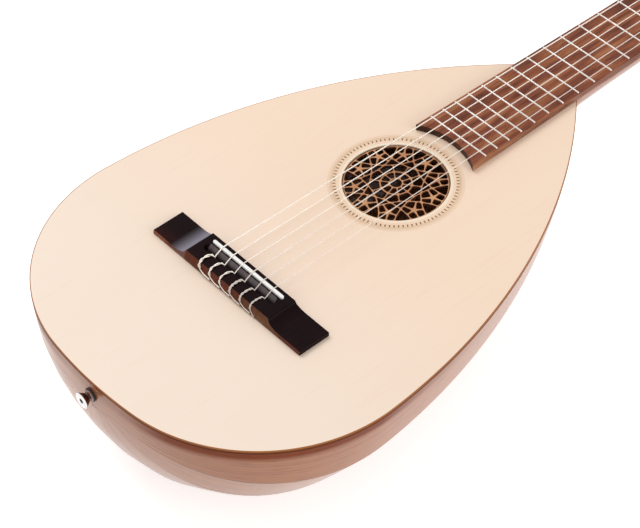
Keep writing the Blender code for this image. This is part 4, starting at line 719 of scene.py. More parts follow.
def greatArc(angle, side):
    return ("circle", toward(angle, rose["nearest"] + rose["arc"]), rose["arc"] + side * rose["band"] / 2.0)


def spokeEdge(origin, angle, side, width):
    direction = toward(angle)
    return ("line", origin + Vector((-direction.y, direction.x)) * (side * width / 2.0), direction)


def wallPath(wall, start, end):
    # Points along a wall from one corner to the next, so that arcs stay round
    if wall[0] == "line":
        return [start]
    centre, radius = wall[1], wall[2]
    a, b = math.atan2(*(start - centre).yx), math.atan2(*(end - centre).yx)
    turn = (b - a + math.pi) % (2 * math.pi) - math.pi
    steps = max(1, int(abs(turn) * radius / 0.0035))
    return [centre + toward(a + turn * i / steps, radius) for i in range(steps)]


def roundCorners(points, reach):
    # Whittled corners: each sharp one becomes a short curve
    result = []
    for k, here in enumerate(points):
        back, on = points[k - 1] - here, points[(k + 1) % len(points)] - here
        if math.pi - back.angle(on) < math.radians(25):
            result.append(here)
            continue
        first = here + back.normalized() * min(reach, back.length * 0.46)
        last = here + on.normalized() * min(reach, on.length * 0.46)
        result += [first * (1 - t) ** 2 + here * (2 * t * (1 - t)) + last * t * t for t in (0.0, 0.2, 0.4, 0.6, 0.8, 1.0)]
    return result


def cellOf(walls, hints):
    corners = [crossing(walls[k], walls[(k + 1) % len(walls)], hints[k]) for k in range(len(walls))]
    points = []
    for k in range(len(walls)):
        points += wallPath(walls[k], corners[k - 1], corners[k])
    return roundCorners(points, rose["corner"])


def roseCells():
    step = 2.0 * math.pi / rose["fold"]
    heart = Vector((0.0, 0.0))
    rim = ("circle", heart, rose["field"])
    eyeWall = ("circle", heart, rose["eye"] + rose["eyeBand"])
    ringIn = ("circle", heart, rose["ring"] - rose["band"] / 2.0)
    ringOut = ("circle", heart, rose["ring"] + rose["band"] / 2.0)
    cells = [circleLoop(rose["eye"], sides=40)]
    for k in range(rose["fold"]):
        axis = math.pi / 2.0 + k * step
        left, right = axis + step / 2.0, axis - step / 2.0
        spokeLeft, spokeRight = spokeEdge(heart, left, -1, rose["spoke"]), spokeEdge(heart, right, 1, rose["spoke"])
        cells.append(cellOf([eyeWall, spokeRight, ringIn, spokeLeft],
                            [toward(right, 0.006), toward(right, 0.012), toward(left, 0.012), toward(left, 0.006)]))
        cells.append(cellOf([ringOut, spokeRight, greatArc(right, 1), greatArc(left, 1), spokeLeft],
                            [toward(right, 0.0135), toward(right, 0.020), toward(axis, 0.0215),
                             toward(left, 0.020), toward(left, 0.0135)]))
        cells.append(cellOf([greatArc(right, -1), greatArc(right - step, 1), greatArc(right + step, 1)],
                            [toward(right - 0.25, 0.023), toward(right, 0.028), toward(right + 0.25, 0.023)]))
        cells.append(cellOf([greatArc(right - step, -1), rim, greatArc(right + step, -1)],
                            [toward(right + 0.12, 0.041), toward(right - 0.12, 0.041), toward(right, 0.030)]))
        cells += flowerCells(axis, step / 2.0, rim)
    return cells


def flowerCells(axis, half, rim):
    heart = toward(axis, rose["flower"])
    turns = [axis + math.radians(72.0 * k) for k in range(5)]
    outerLeft, outerRight = greatArc(axis + 3 * half, 1), greatArc(axis - 3 * half, 1)
    lowLeft, lowRight = greatArc(axis - half, -1), greatArc(axis + half, -1)
    plan = ((4, 0, rim, outerRight, turns[0] - 0.1, turns[0] - 0.75, turns[4] + 0.1),
            (0, 1, outerLeft, rim, turns[1] - 0.1, turns[0] + 0.75, turns[0] + 0.1),
            (3, 4, outerRight, lowRight, turns[4] - 0.1, turns[3] + 0.6, turns[3] + 0.1),
            (1, 2, lowLeft, outerLeft, turns[2] - 0.1, turns[1] + 0.6, turns[1] + 0.1),
            (2, 3, lowRight, lowLeft, turns[3] - 0.1, turns[2] + 0.63, turns[2] + 0.1))
    cells = []
    for low, high, first, second, nearHigh, nearMiddle, nearLow in plan:
        start = spokeEdge(heart, turns[low], 1, rose["flowerSpoke"])
        end = spokeEdge(heart, turns[high], -1, rose["flowerSpoke"])
        a = crossing(start, second, heart + toward(nearLow, 0.0085))
        b = crossing(second, first, heart + toward(nearMiddle, 0.010))
        c = crossing(first, end, heart + toward(nearHigh, 0.0085))
        span = turns[high] if turns[high] > turns[low] else turns[high] + 2 * math.pi
        tip = heart + toward((turns[low] + span) / 2.0, rose["star"])
        points = wallPath(second, a, b) + wallPath(first, b, c) + [c]
        points += [tip + toward(turns[high], 0.0006), tip + toward(turns[low], 0.0006)]
        cells.append(roundCorners(points, rose["corner"]))
    return cells


roseMesh = cutPlate("roseLattice", [circleLoop(rose["hole"] - 0.00005, sides=160)] + roseCells(),
                    -rose["recess"] - rose["thickness"], -rose["recess"], rose["ease"])
roseFine = addPiece("roseFine", moved(roseMesh, stand @ shift(0.0, roseY)), "rose", ("rose",), angle=24)
paint(roseFine, "roseWallShade", lambda centre, normal: normal.z < 0.5)     # painted shade makes the sawn walls dark
# painted shade on the eased edges as well
paint(roseFine, "roseBevelShade", lambda centre, normal: 0.5 < normal.z < 0.97)
print("rose done")

# Rosette round it: thin rings let into the top, and a ring of dark dashes

rosette = {
    "rings": ((0.0430, 0.0451, "pale"), (0.0451, 0.0474, "cream"), (0.0474, 0.0505, "tan"), (0.0505, 0.0509, "line"),
              (0.0509, 0.0516, "tan"), (0.0516, 0.0520, "line"), (0.0520, 0.0543, "outer")),
    "depth": 0.0012, "ticks": 88, "tickRadius": 0.0490, "tickSize": (0.0024, 0.0010, 0.00006)}
for number, (inner, outer, tone) in enumerate(rosette["rings"]):
    profile = [(inner, -rosette["depth"]), (outer, -rosette["depth"]), (outer, 0.0), (inner, 0.0)]
    mesh = moved(lathe("rosetteRing", profile, 180, True), stand @ shift(0.0, roseY))
    addPiece("rosetteRing%d" % (number + 1), mesh, tone, ("rosette_ring",) if number == 0 else ())

tickRecipe = newTree("rosetteDashes", (("Count", "Int", 88), ("Radius", "Float", 0.049), ("Size", "Vector", None)))
tree, ins, sockets = tickRecipe
circle = addNode(tree, "GeometryNodeMeshCircle", {"Vertices": ins["Count"], "Radius": ins["Radius"]}).outputs[0]
dash = addNode(tree, "GeometryNodeMeshCube", {"Size": ins["Size"]}).outputs[0]
index = addNode(tree, "GeometryNodeInputIndex").outputs[0]
turn = mathNode(tree, "DIVIDE", mathNode(tree, "MULTIPLY", index, 2.0 * math.pi), ins["Count"])
spin = addNode(tree, "ShaderNodeCombineXYZ", {2: turn}).outputs[0]
endTree(tree, addNode(tree, "GeometryNodeInstanceOnPoints",
                      {"Points": circle, "Instance": dash, "Rotation": spin}).outputs[0], "tick")
dashes = treeMesh("rosetteDashes", tickRecipe, {"Count": rosette["ticks"], "Radius": rosette["tickRadius"],
                                                "Size": rosette["tickSize"]})
addPiece("rosetteDashes", moved(dashes, stand @ shift(0.0, roseY)), angle=0)
print("rosette done")

# Bowl: a tree builds each rib between two joint lines

bowl = {"stations": 120, "across": 7, "crown": 0.006, "seam": 0.00006, "tailPoint": 0.0012, "bunching": 1.5}

ribRecipe = newTree("ribBetweenJointLines", (
    ("First Line", "Object", None), ("Second Line", "Object", None), ("Stations", "Int", 121), ("Across", "Int", 8),
    ("Crown", "Float", 0.006), ("Thickness", "Float", 0.0018), ("Seam", "Float", 0.00005), ("Grain Shift", "Float", 0.0)))
tree, ins, sockets = ribRecipe
grid = addNode(tree, "GeometryNodeMeshGrid", {
    "Size X": 1.0, "Size Y": 1.0, "Vertices X": ins["Across"], "Vertices Y": ins["Stations"]}).outputs[0]
position = addNode(tree, "GeometryNodeInputPosition").outputs[0]
split = addNode(tree, "ShaderNodeSeparateXYZ", {0: position}).outputs
share = mathNode(tree, "ADD", split[0], 0.5)
lastStation = mathNode(tree, "SUBTRACT", ins["Stations"], 1.0)
station = mathNode(tree, "ROUND", mathNode(tree, "MULTIPLY", mathNode(tree, "ADD", split[1], 0.5), lastStation))


def onLine(label, step):
    line = addNode(tree, "GeometryNodeObjectInfo", {0: ins[label]}).outputs["Geometry"]
    return addNode(tree, "GeometryNodeSampleIndex", {
        "Geometry": line, "Value": position, "Index": mathNode(tree, "ADD", station, step)},
        data_type="FLOAT_VECTOR", clamp=True).outputs[0]


first, second = onLine("First Line", 0.0), onLine("Second Line", 0.0)
ahead = vectorNode(tree, "SUBTRACT", onLine("First Line", 1.0), onLine("First Line", -1.0))
aheadToo = vectorNode(tree, "SUBTRACT", onLine("Second Line", 1.0), onLine("Second Line", -1.0))
across = vectorNode(tree, "SUBTRACT", second, first)
width = vectorNode(tree, "LENGTH", across)
outward = vectorNode(tree, "NORMALIZE", vectorNode(tree, "CROSS_PRODUCT", across, vectorNode(tree, "ADD", ahead, aheadToo)))
inset = mathNode(tree, "DIVIDE", ins["Seam"], width)
kept = mathNode(tree, "ADD", inset, mathNode(tree, "MULTIPLY", share, mathNode(
    tree, "SUBTRACT", 1.0, mathNode(tree, "MULTIPLY", inset, 2.0))))
arch = mathNode(tree, "MULTIPLY", mathNode(tree, "MULTIPLY", share, mathNode(tree, "SUBTRACT", 1.0, share)), 4.0)
place = vectorNode(tree, "ADD", vectorNode(tree, "ADD", first, vectorNode(tree, "SCALE", across, scale=kept)),
                   vectorNode(tree, "SCALE", outward, scale=mathNode(tree, "MULTIPLY", mathNode(tree, "MULTIPLY", arch, ins["Crown"]), width)))
travelField = addNode(tree, "GeometryNodeInputNamedAttribute", {"Name": "travel"}, data_type="FLOAT").outputs[0]
travelLine = addNode(tree, "GeometryNodeObjectInfo", {0: ins["First Line"]}).outputs["Geometry"]
travel = addNode(tree, "GeometryNodeSampleIndex", {"Geometry": travelLine, "Value": travelField, "Index": station},
                 data_type="FLOAT", clamp=True).outputs[0]
grainX = mathNode(tree, "ADD", mathNode(tree, "MULTIPLY", width, mathNode(tree, "SUBTRACT", share, 0.5)), ins["Grain Shift"])
grain = addNode(tree, "ShaderNodeCombineXYZ", {0: grainX, 1: travel}).outputs[0]
named = addNode(tree, "GeometryNodeStoreNamedAttribute", {"Geometry": grid, "Name": "grain", "Value": grain},
                data_type="FLOAT_VECTOR").outputs[0]
named = addNode(tree, "GeometryNodeStoreNamedAttribute", {"Geometry": named, "Name": "outward", "Value": outward},
                data_type="FLOAT_VECTOR").outputs[0]
beside = mathNode(tree, "MULTIPLY", width, mathNode(tree, "MINIMUM", share, mathNode(tree, "SUBTRACT", 1.0, share)))
named = addNode(tree, "GeometryNodeStoreNamedAttribute", {"Geometry": named, "Name": "besideJoint", "Value": beside},
                data_type="FLOAT").outputs[0]
shell = addNode(tree, "GeometryNodeSetPosition", {"Geometry": named, "Position": place}).outputs[0]
outwardField = addNode(tree, "GeometryNodeInputNamedAttribute", {"Name": "outward"}, data_type="FLOAT_VECTOR").outputs[0]
inner = addNode(tree, "GeometryNodeExtrudeMesh", {
    "Mesh": shell, "Offset": vectorNode(tree, "SCALE", outwardField, scale=-1.0), "Offset Scale": ins["Thickness"],
    "Individual": False}, mode="FACES").outputs[0]
closed = addNode(tree, "GeometryNodeJoinGeometry")
tree.links.new(inner, closed.inputs[0])
tree.links.new(addNode(tree, "GeometryNodeFlipFaces", {"Mesh": shell}).outputs[0], closed.inputs[0])
merged = addNode(tree, "GeometryNodeMergeByDistance", {"Geometry": closed.outputs[0], "Distance": 1e-6}).outputs[0]
endTree(tree, merged, "walnut")


def jointLine(number, start):
    points, travels = [], []
    for i in range(bowl["stations"] + 1):
        share = (i / bowl["stations"]) ** bowl["bunching"]
        travels.append(start + (lastTravel - start) * share)
        points.append(stand @ bowlPoint(travels[-1], number / body["ribs"]))
    mesh = bpy.data.meshes.new("jointLine")
    mesh.from_pydata([tuple(p) for p in points], [(i, i + 1) for i in range(bowl["stations"])], [])
    mesh.attributes.new("travel", "FLOAT", "POINT").data.foreach_set("value", travels)
    return newObject("jointLine%d" % number, mesh)


for number in range(1, body["ribs"] + 1):
    start = body["fitGap"] / 2.0 if number in (1, body["ribs"]) else bowl["tailPoint"]     # the rim ribs meet at the tail
    jointLines = [jointLine(number - 1, start), jointLine(number, start)]
    ribMesh = treeMesh("rib%d" % number, ribRecipe, {
        "First Line": jointLines[0], "Second Line": jointLines[1], "Stations": bowl["stations"] + 1,
        "Across": bowl["across"] + 1, "Crown": bowl["crown"], "Thickness": body["ribThickness"],
        "Seam": bowl["seam"], "Grain Shift": 0.11 * number})
    addPiece("rib%dFine" % number, tidy(ribMesh), None, ("rib_%d" % number,), angle=40)
    for line in jointLines:
        bpy.data.objects.remove(line, do_unlink=True)
print("bowl done")

# Fingerboard, frets, neck and nut

fret = {"width": 0.0015, "crown": 0.00100, "inset": 0.0010, "profile": 11}
nut = {"long": 0.0050, "top": 0.0086, "room": 0.00012}


def boardHalf(y):
    share = (y - neckEndY) / (neck["scale"] - neckEndY)
    return neck["halfEnd"] + (neck["halfNut"] - neck["halfEnd"]) * share


span = math.asin(neck["halfEnd"] / neck["endArc"])
hollow = [(neck["endArc"] * math.cos(math.pi / 2 - span + 2 * span * k / 40),
           roseY + neck["endArc"] * math.sin(math.pi / 2 - span + 2 * span * k / 40)) for k in range(41)]
nutEdge = neck["scale"] - body["fitGap"]
boardMesh = cutPlate("fingerboardPlate", [[(neck["halfNut"], nutEdge), (-neck["halfNut"], nutEdge)] + hollow[::-1]],
                     body["fitGap"], neck["boardTop"], 0.0003)
boardFine = addPiece("fingerboardFine", moved(boardMesh, stand), "board", ("fingerboard",), angle=20)
# painted shade: the end towards the tail is darker
paint(boardFine, "boardEndShade", lambda centre, normal: abs(normal.z) < 0.4 and normal.y < -0.3)
paint(boardFine, "boardSide", lambda centre, normal: abs(normal.z) < 0.4 and abs(normal.x) > 0.95)

fretRings = []
for x, height in ((-1.0, 0.10), (-0.990, 0.62), (-0.970, 1.0), (0.970, 1.0), (0.990, 0.62), (1.0, 0.10)):
    ring = [Vector((x * neck["halfEnd"], -fret["width"] / 2, -0.0004))]
    for k in range(fret["profile"]):
        angle = math.pi * k / (fret["profile"] - 1)
        ring.append(Vector((x * neck["halfEnd"], -fret["width"] / 2 * math.cos(angle),
                            fret["crown"] * height * math.sin(angle))))
    fretRings.append(ring + [Vector((x * neck["halfEnd"], fret["width"] / 2, -0.0004))])
fretPattern = patternObject("fretPattern", loft("fretWire", fretRings))

fretRecipe = newTree("fretsByRule", (
    ("Count", "Int", 19), ("Scale Length", "Float", 0.65), ("Half At Nut", "Float", 0.026),
    ("Half At End", "Float", 0.0326), ("End", "Float", 0.2), ("Inset", "Float", 0.001), ("Pattern", "Object", None)))
tree, ins, sockets = fretRecipe
line = addNode(tree, "GeometryNodeMeshLine", {"Count": ins["Count"]}).outputs[0]
index = addNode(tree, "GeometryNodeInputIndex").outputs[0]
octave = mathNode(tree, "DIVIDE", mathNode(tree, "ADD", index, 1.0), -12.0)
fretY = mathNode(tree, "MULTIPLY", mathNode(tree, "POWER", 2.0, octave), ins["Scale Length"])
placed = addNode(tree, "GeometryNodeSetPosition", {
    "Geometry": line, "Position": addNode(tree, "ShaderNodeCombineXYZ", {1: fretY}).outputs[0]}).outputs[0]
share = mathNode(tree, "DIVIDE", mathNode(tree, "SUBTRACT", fretY, ins["End"]),
                 mathNode(tree, "SUBTRACT", ins["Scale Length"], ins["End"]))
taper = mathNode(tree, "MULTIPLY", share, mathNode(tree, "SUBTRACT", ins["Half At Nut"], ins["Half At End"]))
half = mathNode(tree, "SUBTRACT", mathNode(tree, "ADD", ins["Half At End"], taper), ins["Inset"])
stretch = addNode(tree, "ShaderNodeCombineXYZ", {0: mathNode(tree, "DIVIDE", half, ins["Half At End"]), 1: 1.0, 2: 1.0})
pattern = addNode(tree, "GeometryNodeObjectInfo", {0: ins["Pattern"]}).outputs["Geometry"]
endTree(tree, addNode(tree, "GeometryNodeInstanceOnPoints", {
    "Points": placed, "Instance": pattern, "Scale": stretch.outputs[0]}).outputs[0], "fret")
frets = treeMesh("frets", fretRecipe, {
    "Count": neck["frets"], "Scale Length": neck["scale"], "Half At Nut": neck["halfNut"],
    "Half At End": neck["halfEnd"], "End": neckEndY, "Inset": fret["inset"], "Pattern": fretPattern})
bpy.data.objects.remove(fretPattern, do_unlink=True)
addPiece("fretsFine", moved(frets, stand @ shift(z=neck["boardTop"])), angle=50)


def halfRound(half, depth, roundX, roundZ, steps=14):
    # The neck's section: flat on top, sides, and a rounded back
    points = [(half, 0.0)]
    for i in range(steps + 1):
        angle = math.pi / 2.0 * i / steps
        points.append((half - roundX + roundX * math.cos(angle), -(depth - roundZ) - roundZ * math.sin(angle)))
    return points + [(-x, z) for x, z in reversed(points)]


neckStart = body["jointY"] + body["fitGap"]
jointHalf = outlinePoint(lastTravel).x
jointDepth = jointHalf * depthRatio(body["jointY"]) + body["topThickness"]
heelRows = ((0.0, 1.0), (0.25, 0.60), (0.6, 0.17), (1.0, 0.0))
neckRings = []
for i in range(25):
    share = i / 24.0
    y, weight = neckStart + neck["heel"] * share, curveValue(heelRows, share)
    depth = neck["depthFirst"] + (jointDepth - neck["depthFirst"]) * weight
    half = boardHalf(y) + (jointHalf - boardHalf(y)) * weight
    neckRings.append([(x, y, z) for x, z in halfRound(half, depth, half * 0.98, depth * 0.94)])
straightStart, straightEnd = neckStart + neck["heel"], head["startY"] - neck["headTurn"]
for i in range(1, 13):
    share = i / 12.0
    y = straightStart + (straightEnd - straightStart) * share
    depth, half = neck["depthFirst"] + (neck["depthNut"] - neck["depthFirst"]) * share, boardHalf(min(y, neck["scale"]))
    neckRings.append([(x, y, z) for x, z in halfRound(half, depth, half * 0.98, depth * 0.94)])
lean, half, depth = math.tan(head["angle"]), neck["halfNut"], neck["rootDepth"]
neckRings.append([(x, head["startY"] - 0.0001 + z * lean, z) for x, z in halfRound(half, depth, half * 0.98, depth * 0.94)])
neckMesh = moved(loft("neckShaft", neckRings), stand)
addPiece("neckFine", neckMesh, "neck", ("neck",), angle=40)

nutMesh = cutPlate("nut", [[(-neck["halfNut"], body["fitGap"]), (neck["halfNut"], body["fitGap"]),
                            (neck["halfNut"], nut["top"]), (-neck["halfNut"], nut["top"])]], 0.0, nut["long"])
slots = []
for k, gauge in enumerate(strings["gauges"]):
    x, radius = strings["nutSpread"] * (k / 5.0 - 0.5), gauge / 2.0 + nut["room"]
    outline = [(x + radius * math.cos(math.pi * (1.0 + i / 10.0)), strings["nutHeight"] + radius * math.sin(math.pi * (1.0 + i / 10.0)))
               for i in range(11)] + [(x + radius, nut["top"] + 0.001), (x - radius, nut["top"] + 0.001)]
    slots.append(cutPlate("nutSlot", [outline], -0.001, nut["long"] + 0.001))
nutMesh = carved("nut", nutMesh, (slots,), 0.00022, 50)
addPiece("nutFine", moved(nutMesh, stand @ shift(y=neck["scale"] + nut["long"]) @ upright), "bone", ("nut",), angle=0)
print("neck and fingerboard done")

# Bridge and saddle

bridge = {
    "half": 0.0848, "front": 0.0016, "back": -0.0275, "wing": 0.0041, "block": 0.0087, "blockHalf": 0.0475,
    "cove": 0.0120, "backBevel": 0.0024, "backLip": 0.0030, "ease": 0.00028,
    "troughFront": -0.0066, "troughBack": -0.0142, "troughFloor": 0.0036, "floorLong": 0.0020,
    "troughHalf": 0.0405, "troughAside": -0.0015,
    "holeZ": 0.0052, "holeRoom": 0.0008}
saddle = {"y": -0.0039, "half": 0.0402, "thick": 0.0029, "seat": 0.0045, "top": 0.0106, "ease": 0.0005}

profile = [(bridge["half"], body["fitGap"]), (bridge["half"], bridge["wing"])]
for i in range(19):
    angle = math.pi / 2.0 * i / 18.0
    profile.append((bridge["blockHalf"] + bridge["cove"] * (1.0 - math.sin(angle)),
                    bridge["wing"] + (bridge["block"] - bridge["wing"]) * (1.0 - math.cos(angle))))
profile += [(-x, z) for x, z in reversed(profile)]
bridgeMesh = moved(cutPlate("bridge", [profile], -bridge["front"], -bridge["back"]), upright)
above = bridge["block"] + 0.003
slope = bridge["backBevel"] / (bridge["block"] - bridge["backLip"])
bevelCut = cutPlate("bevelCut", [[(bridge["back"] - 0.002, bridge["backLip"]), (bridge["back"], bridge["backLip"]),
                                  (bridge["back"] + slope * (above - bridge["backLip"]), above),
                                  (bridge["back"] - 0.002, above)]], -bridge["half"] - 0.01, bridge["half"] + 0.01)
slotCut = cutPlate("slotCut", [stadiumLoop(saddle["half"] + 0.0001, saddle["thick"] / 2.0 + 0.0001, 0.0, saddle["y"])],
                   saddle["seat"], above)
troughMiddle = (bridge["troughFront"] + bridge["troughBack"]) / 2.0
troughTop = stadiumLoop(bridge["troughHalf"], (bridge["troughFront"] - bridge["troughBack"]) / 2.0,
                        bridge["troughAside"], troughMiddle, 14)
troughRings = []
for height, front in ((above, 0.0), (bridge["block"], 0.0), (bridge["troughFloor"], 1.0)):
    reach = bridge["troughFront"] - bridge["troughBack"]
    room = 1.0 - front * (1.0 - bridge["floorLong"] / reach)     # the front wall slopes down to a narrow floor
    troughRings.append([(x, bridge["troughBack"] + (y - bridge["troughBack"]) * room, height) for x, y in troughTop])
troughCut = loft("troughCut", troughRings)
holes = []
for k, gauge in enumerate(strings["gauges"]):
    hole = cutPlate("tieHole", [circleLoop((gauge + bridge["holeRoom"]) / 2.0, sides=20)],
                    -bridge["troughBack"] - 0.001, -bridge["back"] + 0.001)
    holes.append(moved(hole, shift(strings["saddleSpread"] * (k / 5.0 - 0.5), 0.0, bridge["holeZ"]) @ upright))
bridgeMesh = carved("bridge", bridgeMesh, ([moved(bevelCut, sideways), slotCut, troughCut], holes), bridge["ease"], 32)
bridgeFine = addPiece("bridgeFine", moved(bridgeMesh, stand), "bridge", ("bridge",), angle=0)
# painted reflection and painted shade on the trough's front wall
paint(bridgeFine, "troughWall", lambda centre, normal: (
    bridge["troughBack"] < centre.y < bridge["troughFront"] + 0.0003 and centre.z < bridge["block"] - 0.0003
    and normal.y < -0.2 and abs(centre.x - bridge["troughAside"]) < bridge["troughHalf"] - 0.002))
# painted light: the back faces lighter and redder than the top
paint(bridgeFine, "bridgeBackLit", lambda centre, normal: centre.y < bridge["troughBack"] and normal.y < -0.5)

saddleRings = []
for height, inset in ((saddle["seat"] + 0.0003, 0.0003), (saddle["seat"] + 0.0006, 0.0), (saddle["top"] - saddle["ease"], 0.0),
                      (saddle["top"] - saddle["ease"] * 0.62, saddle["ease"] * 0.08), (saddle["top"] - saddle["ease"] * 0.29, saddle["ease"] * 0.29),
                      (saddle["top"] - saddle["ease"] * 0.08, saddle["ease"] * 0.62), (saddle["top"], saddle["ease"])):
    loop = stadiumLoop(saddle["half"] - inset, saddle["thick"] / 2.0 - inset, 0.0, saddle["y"])
    saddleRings.append([(x, y, height) for x, y in loop])
addPiece("saddleFine", moved(loft("saddle", saddleRings), stand), "bone", ("saddle",), angle=50)
print("bridge done")

# Head and its face veneer

headLook = {"ease": 0.0005, "veneer": 0.0020, "veneerStart": 0.0010, "rampStart": 0.014, "rampDepth": 0.0085,
            "slotBefore": 0.018, "slotBeyond": 0.016, "rollerRoom": 0.0004}
tuner = {
    "rollerRadius": 0.0048, "tipRadius": 0.0030, "tipLong": 0.0030, "step": 0.0006, "shaft": 0.0020,
    "plateThick": 0.0012, "plateHalf": 0.0078, "plateBefore": 0.0090, "plateBeyond": 0.0130, "plateCorner": 0.0030,
    "teeth": 14, "pitch": 0.0026, "gearThick": 0.0042, "addendum": 0.00070, "dedendum": 0.00095, "toothShare": 0.36,
    "screwRadius": 0.0025, "screwHeight": 0.0010, "wormPitchRadius": 0.0029, "wormRoot": 0.0021, "wormCrest": 0.0036,
    "wormTurns": 2.25, "threadShare": 0.26, "clearance": 0.0002, "wormShaft": 0.0015, "shaftEnd": 0.0006,
    "wormSides": 40, "ear": 0.0012, "earOffset": 0.0058, "earHalf": 0.0032, "earRim": 0.0022,
    "buttonStart": 0.0125, "buttonLong": 0.0190, "buttonHalf": 0.0075, "buttonThick": 0.0045, "gap": 0.0003}
gearRadius = tuner["teeth"] * tuner["pitch"] / (2.0 * math.pi)
wormDistance = gearRadius + tuner["wormPitchRadius"] + tuner["clearance"]
plateX = head["halfWidth"] + body["fitGap"]
gearX = plateX + tuner["plateThick"] + tuner["wormCrest"] + tuner["gap"]
slotFirst, slotLast = head["rollers"][0] - headLook["slotBefore"], head["rollers"][-1] + headLook["slotBeyond"]

# Along the head: half width, depth, and the rounding of the back's corners across and down
full, thick, edge, nutHalf, root = head["halfWidth"], head["thickness"], 0.0022, neck["halfNut"], neck["rootDepth"]
headRows = (
    (0.0, nutHalf, root, nutHalf * 0.98, root * 0.94),
    (0.008, nutHalf + (full - nutHalf) * 0.08, root + (thick - root) * 0.2, nutHalf * 0.73, root * 0.71),
    (0.017, full - (full - nutHalf) * 0.35, thick - edge * 0.4, full * 0.25, root * 0.45),
    (0.025, full, thick, edge, edge), (0.150, full, thick, edge, edge), (0.163, full + 0.0006, thick, edge, edge),
    (0.1752, full - (full - nutHalf) * 0.35, thick, edge, edge), (0.1839, full * 0.66, thick, edge, edge),
    (0.1891, full * 0.40, thick, edge, edge), (0.192, full * 0.16, thick, edge, edge))


def headRow(y):
    return [curveValue([(row[0], row[k]) for row in headRows], y) for k in range(1, 5)]


headPlaces = [0.025 * i / 14 for i in range(15)] + [0.150] + [0.150 + 0.042 * math.sin(math.pi / 2 * i / 44) for i in range(1, 45)]
headMesh = loft("headstock", [[(x, y, z) for x, z in halfRound(*headRow(y))] for y in headPlaces])
slotHalf, slotMiddle = (head["slotOut"] - head["slotIn"]) / 2.0, (head["slotOut"] + head["slotIn"]) / 2.0
slots, ramps, bores = [], [], []
for side in (-1.0, 1.0):
    slots.append(cutPlate("headSlot", [stadiumLoop(slotHalf, (slotLast - slotFirst) / 2.0, side * slotMiddle,
                                                   (slotLast + slotFirst) / 2.0)], -0.04, 0.04))
    rampLoop = [(headLook["rampStart"], 0.0), (slotFirst + slotHalf, -headLook["rampDepth"]),
                (slotFirst + slotHalf, 0.04), (headLook["rampStart"], 0.04)]
    low, high = sorted((side * head["slotIn"], side * head["slotOut"]))
    ramps.append(moved(cutPlate("ramp", [rampLoop], low, high), sideways))
    for y in head["rollers"]:
        for radius, start, end in ((tuner["rollerRadius"], head["slotOut"] - 0.004, full + 0.004),
                                   (tuner["tipRadius"], head["slotIn"] - 0.0036, head["slotIn"] + 0.003)):
            low, high = sorted((side * start, side * end))
            bore = cutPlate("bore", [circleLoop(radius + headLook["rollerRoom"], sides=32)], low, high)
            bores.append(moved(bore, shift(0.0, y, -head["depth"]) @ sideways))
headMesh = carved("headstock", headMesh, (slots, ramps, bores), headLook["ease"], 40)
addPiece("headFine", moved(headMesh, headStand), "neck", ("headstock",), angle=0)

veneerPlaces = [max(y, headLook["veneerStart"]) for y in headPlaces]
rightSide = [(headRow(y)[0], y) for y in veneerPlaces]
openings = [stadiumLoop(slotHalf, (slotLast - headLook["rampStart"] + 0.002) / 2.0, side * slotMiddle,
                        (slotLast + headLook["rampStart"] - 0.002) / 2.0) for side in (-1.0, 1.0)]
veneerMesh = cutPlate("headVeneer", [rightSide + [(-x, y) for x, y in reversed(rightSide)]] + openings,
                      body["fitGap"] * 0.2, body["fitGap"] + headLook["veneer"], 0.0003)
addPiece("veneerFine", moved(veneerMesh, headStand), "board", ("head_veneer",), angle=20)
print("head done")

# Tuning machines: plates, rollers, gears, worms and buttons

def slottedScrew(name, radius, height, sides=28):
    # A low domed head with a straight slot, its foot at z = 0
    rows = [(radius, -0.0003), (radius, height * 0.35), (radius * 0.92, height * 0.68), (radius * 0.68, height * 0.92),
            (radius * 0.30, height)]
    dome = lathe(name, rows, sides)
    half = radius * 0.13
    slot = cutPlate("screwSlot", [[(-radius * 1.2, -half), (radius * 1.2, -half), (radius * 1.2, half), (-radius * 1.2, half)]],
                    height * 0.35, height * 2.0)
    return carved(name, dome, ([slot],), 0.00004, 40)


def tunerSeat(number):
    side = -1.0 if number >= 4 else 1.0
    return side, head["rollers"][6 - number if number >= 4 else number - 1]


firstY = head["rollers"][0] - wormDistance - tuner["plateBefore"]
lastY = head["rollers"][-1] + tuner["plateBeyond"]
screwPattern = patternObject("plateScrew", slottedScrew("plateScrew", 0.0017, 0.0007))
screwRecipe = newTree("plateScrews", (("Pattern", "Object", None), ("Scale", "Float", 1.0), ("Seed", "Int", 4)))
tree, ins, sockets = screwRecipe
points = tree.nodes.new("NodeGroupInput").outputs[0]
turned = addNode(tree, "FunctionNodeRandomValue", {"Max": (0.0, 0.0, 3.0), "Seed": ins["Seed"]}, data_type="FLOAT_VECTOR")
pattern = addNode(tree, "GeometryNodeObjectInfo", {0: ins["Pattern"]}).outputs["Geometry"]
endTree(tree, addNode(tree, "GeometryNodeInstanceOnPoints", {
    "Points": points, "Instance": pattern, "Rotation": turned.outputs[0], "Scale": ins["Scale"]}).outputs[0], "brass")

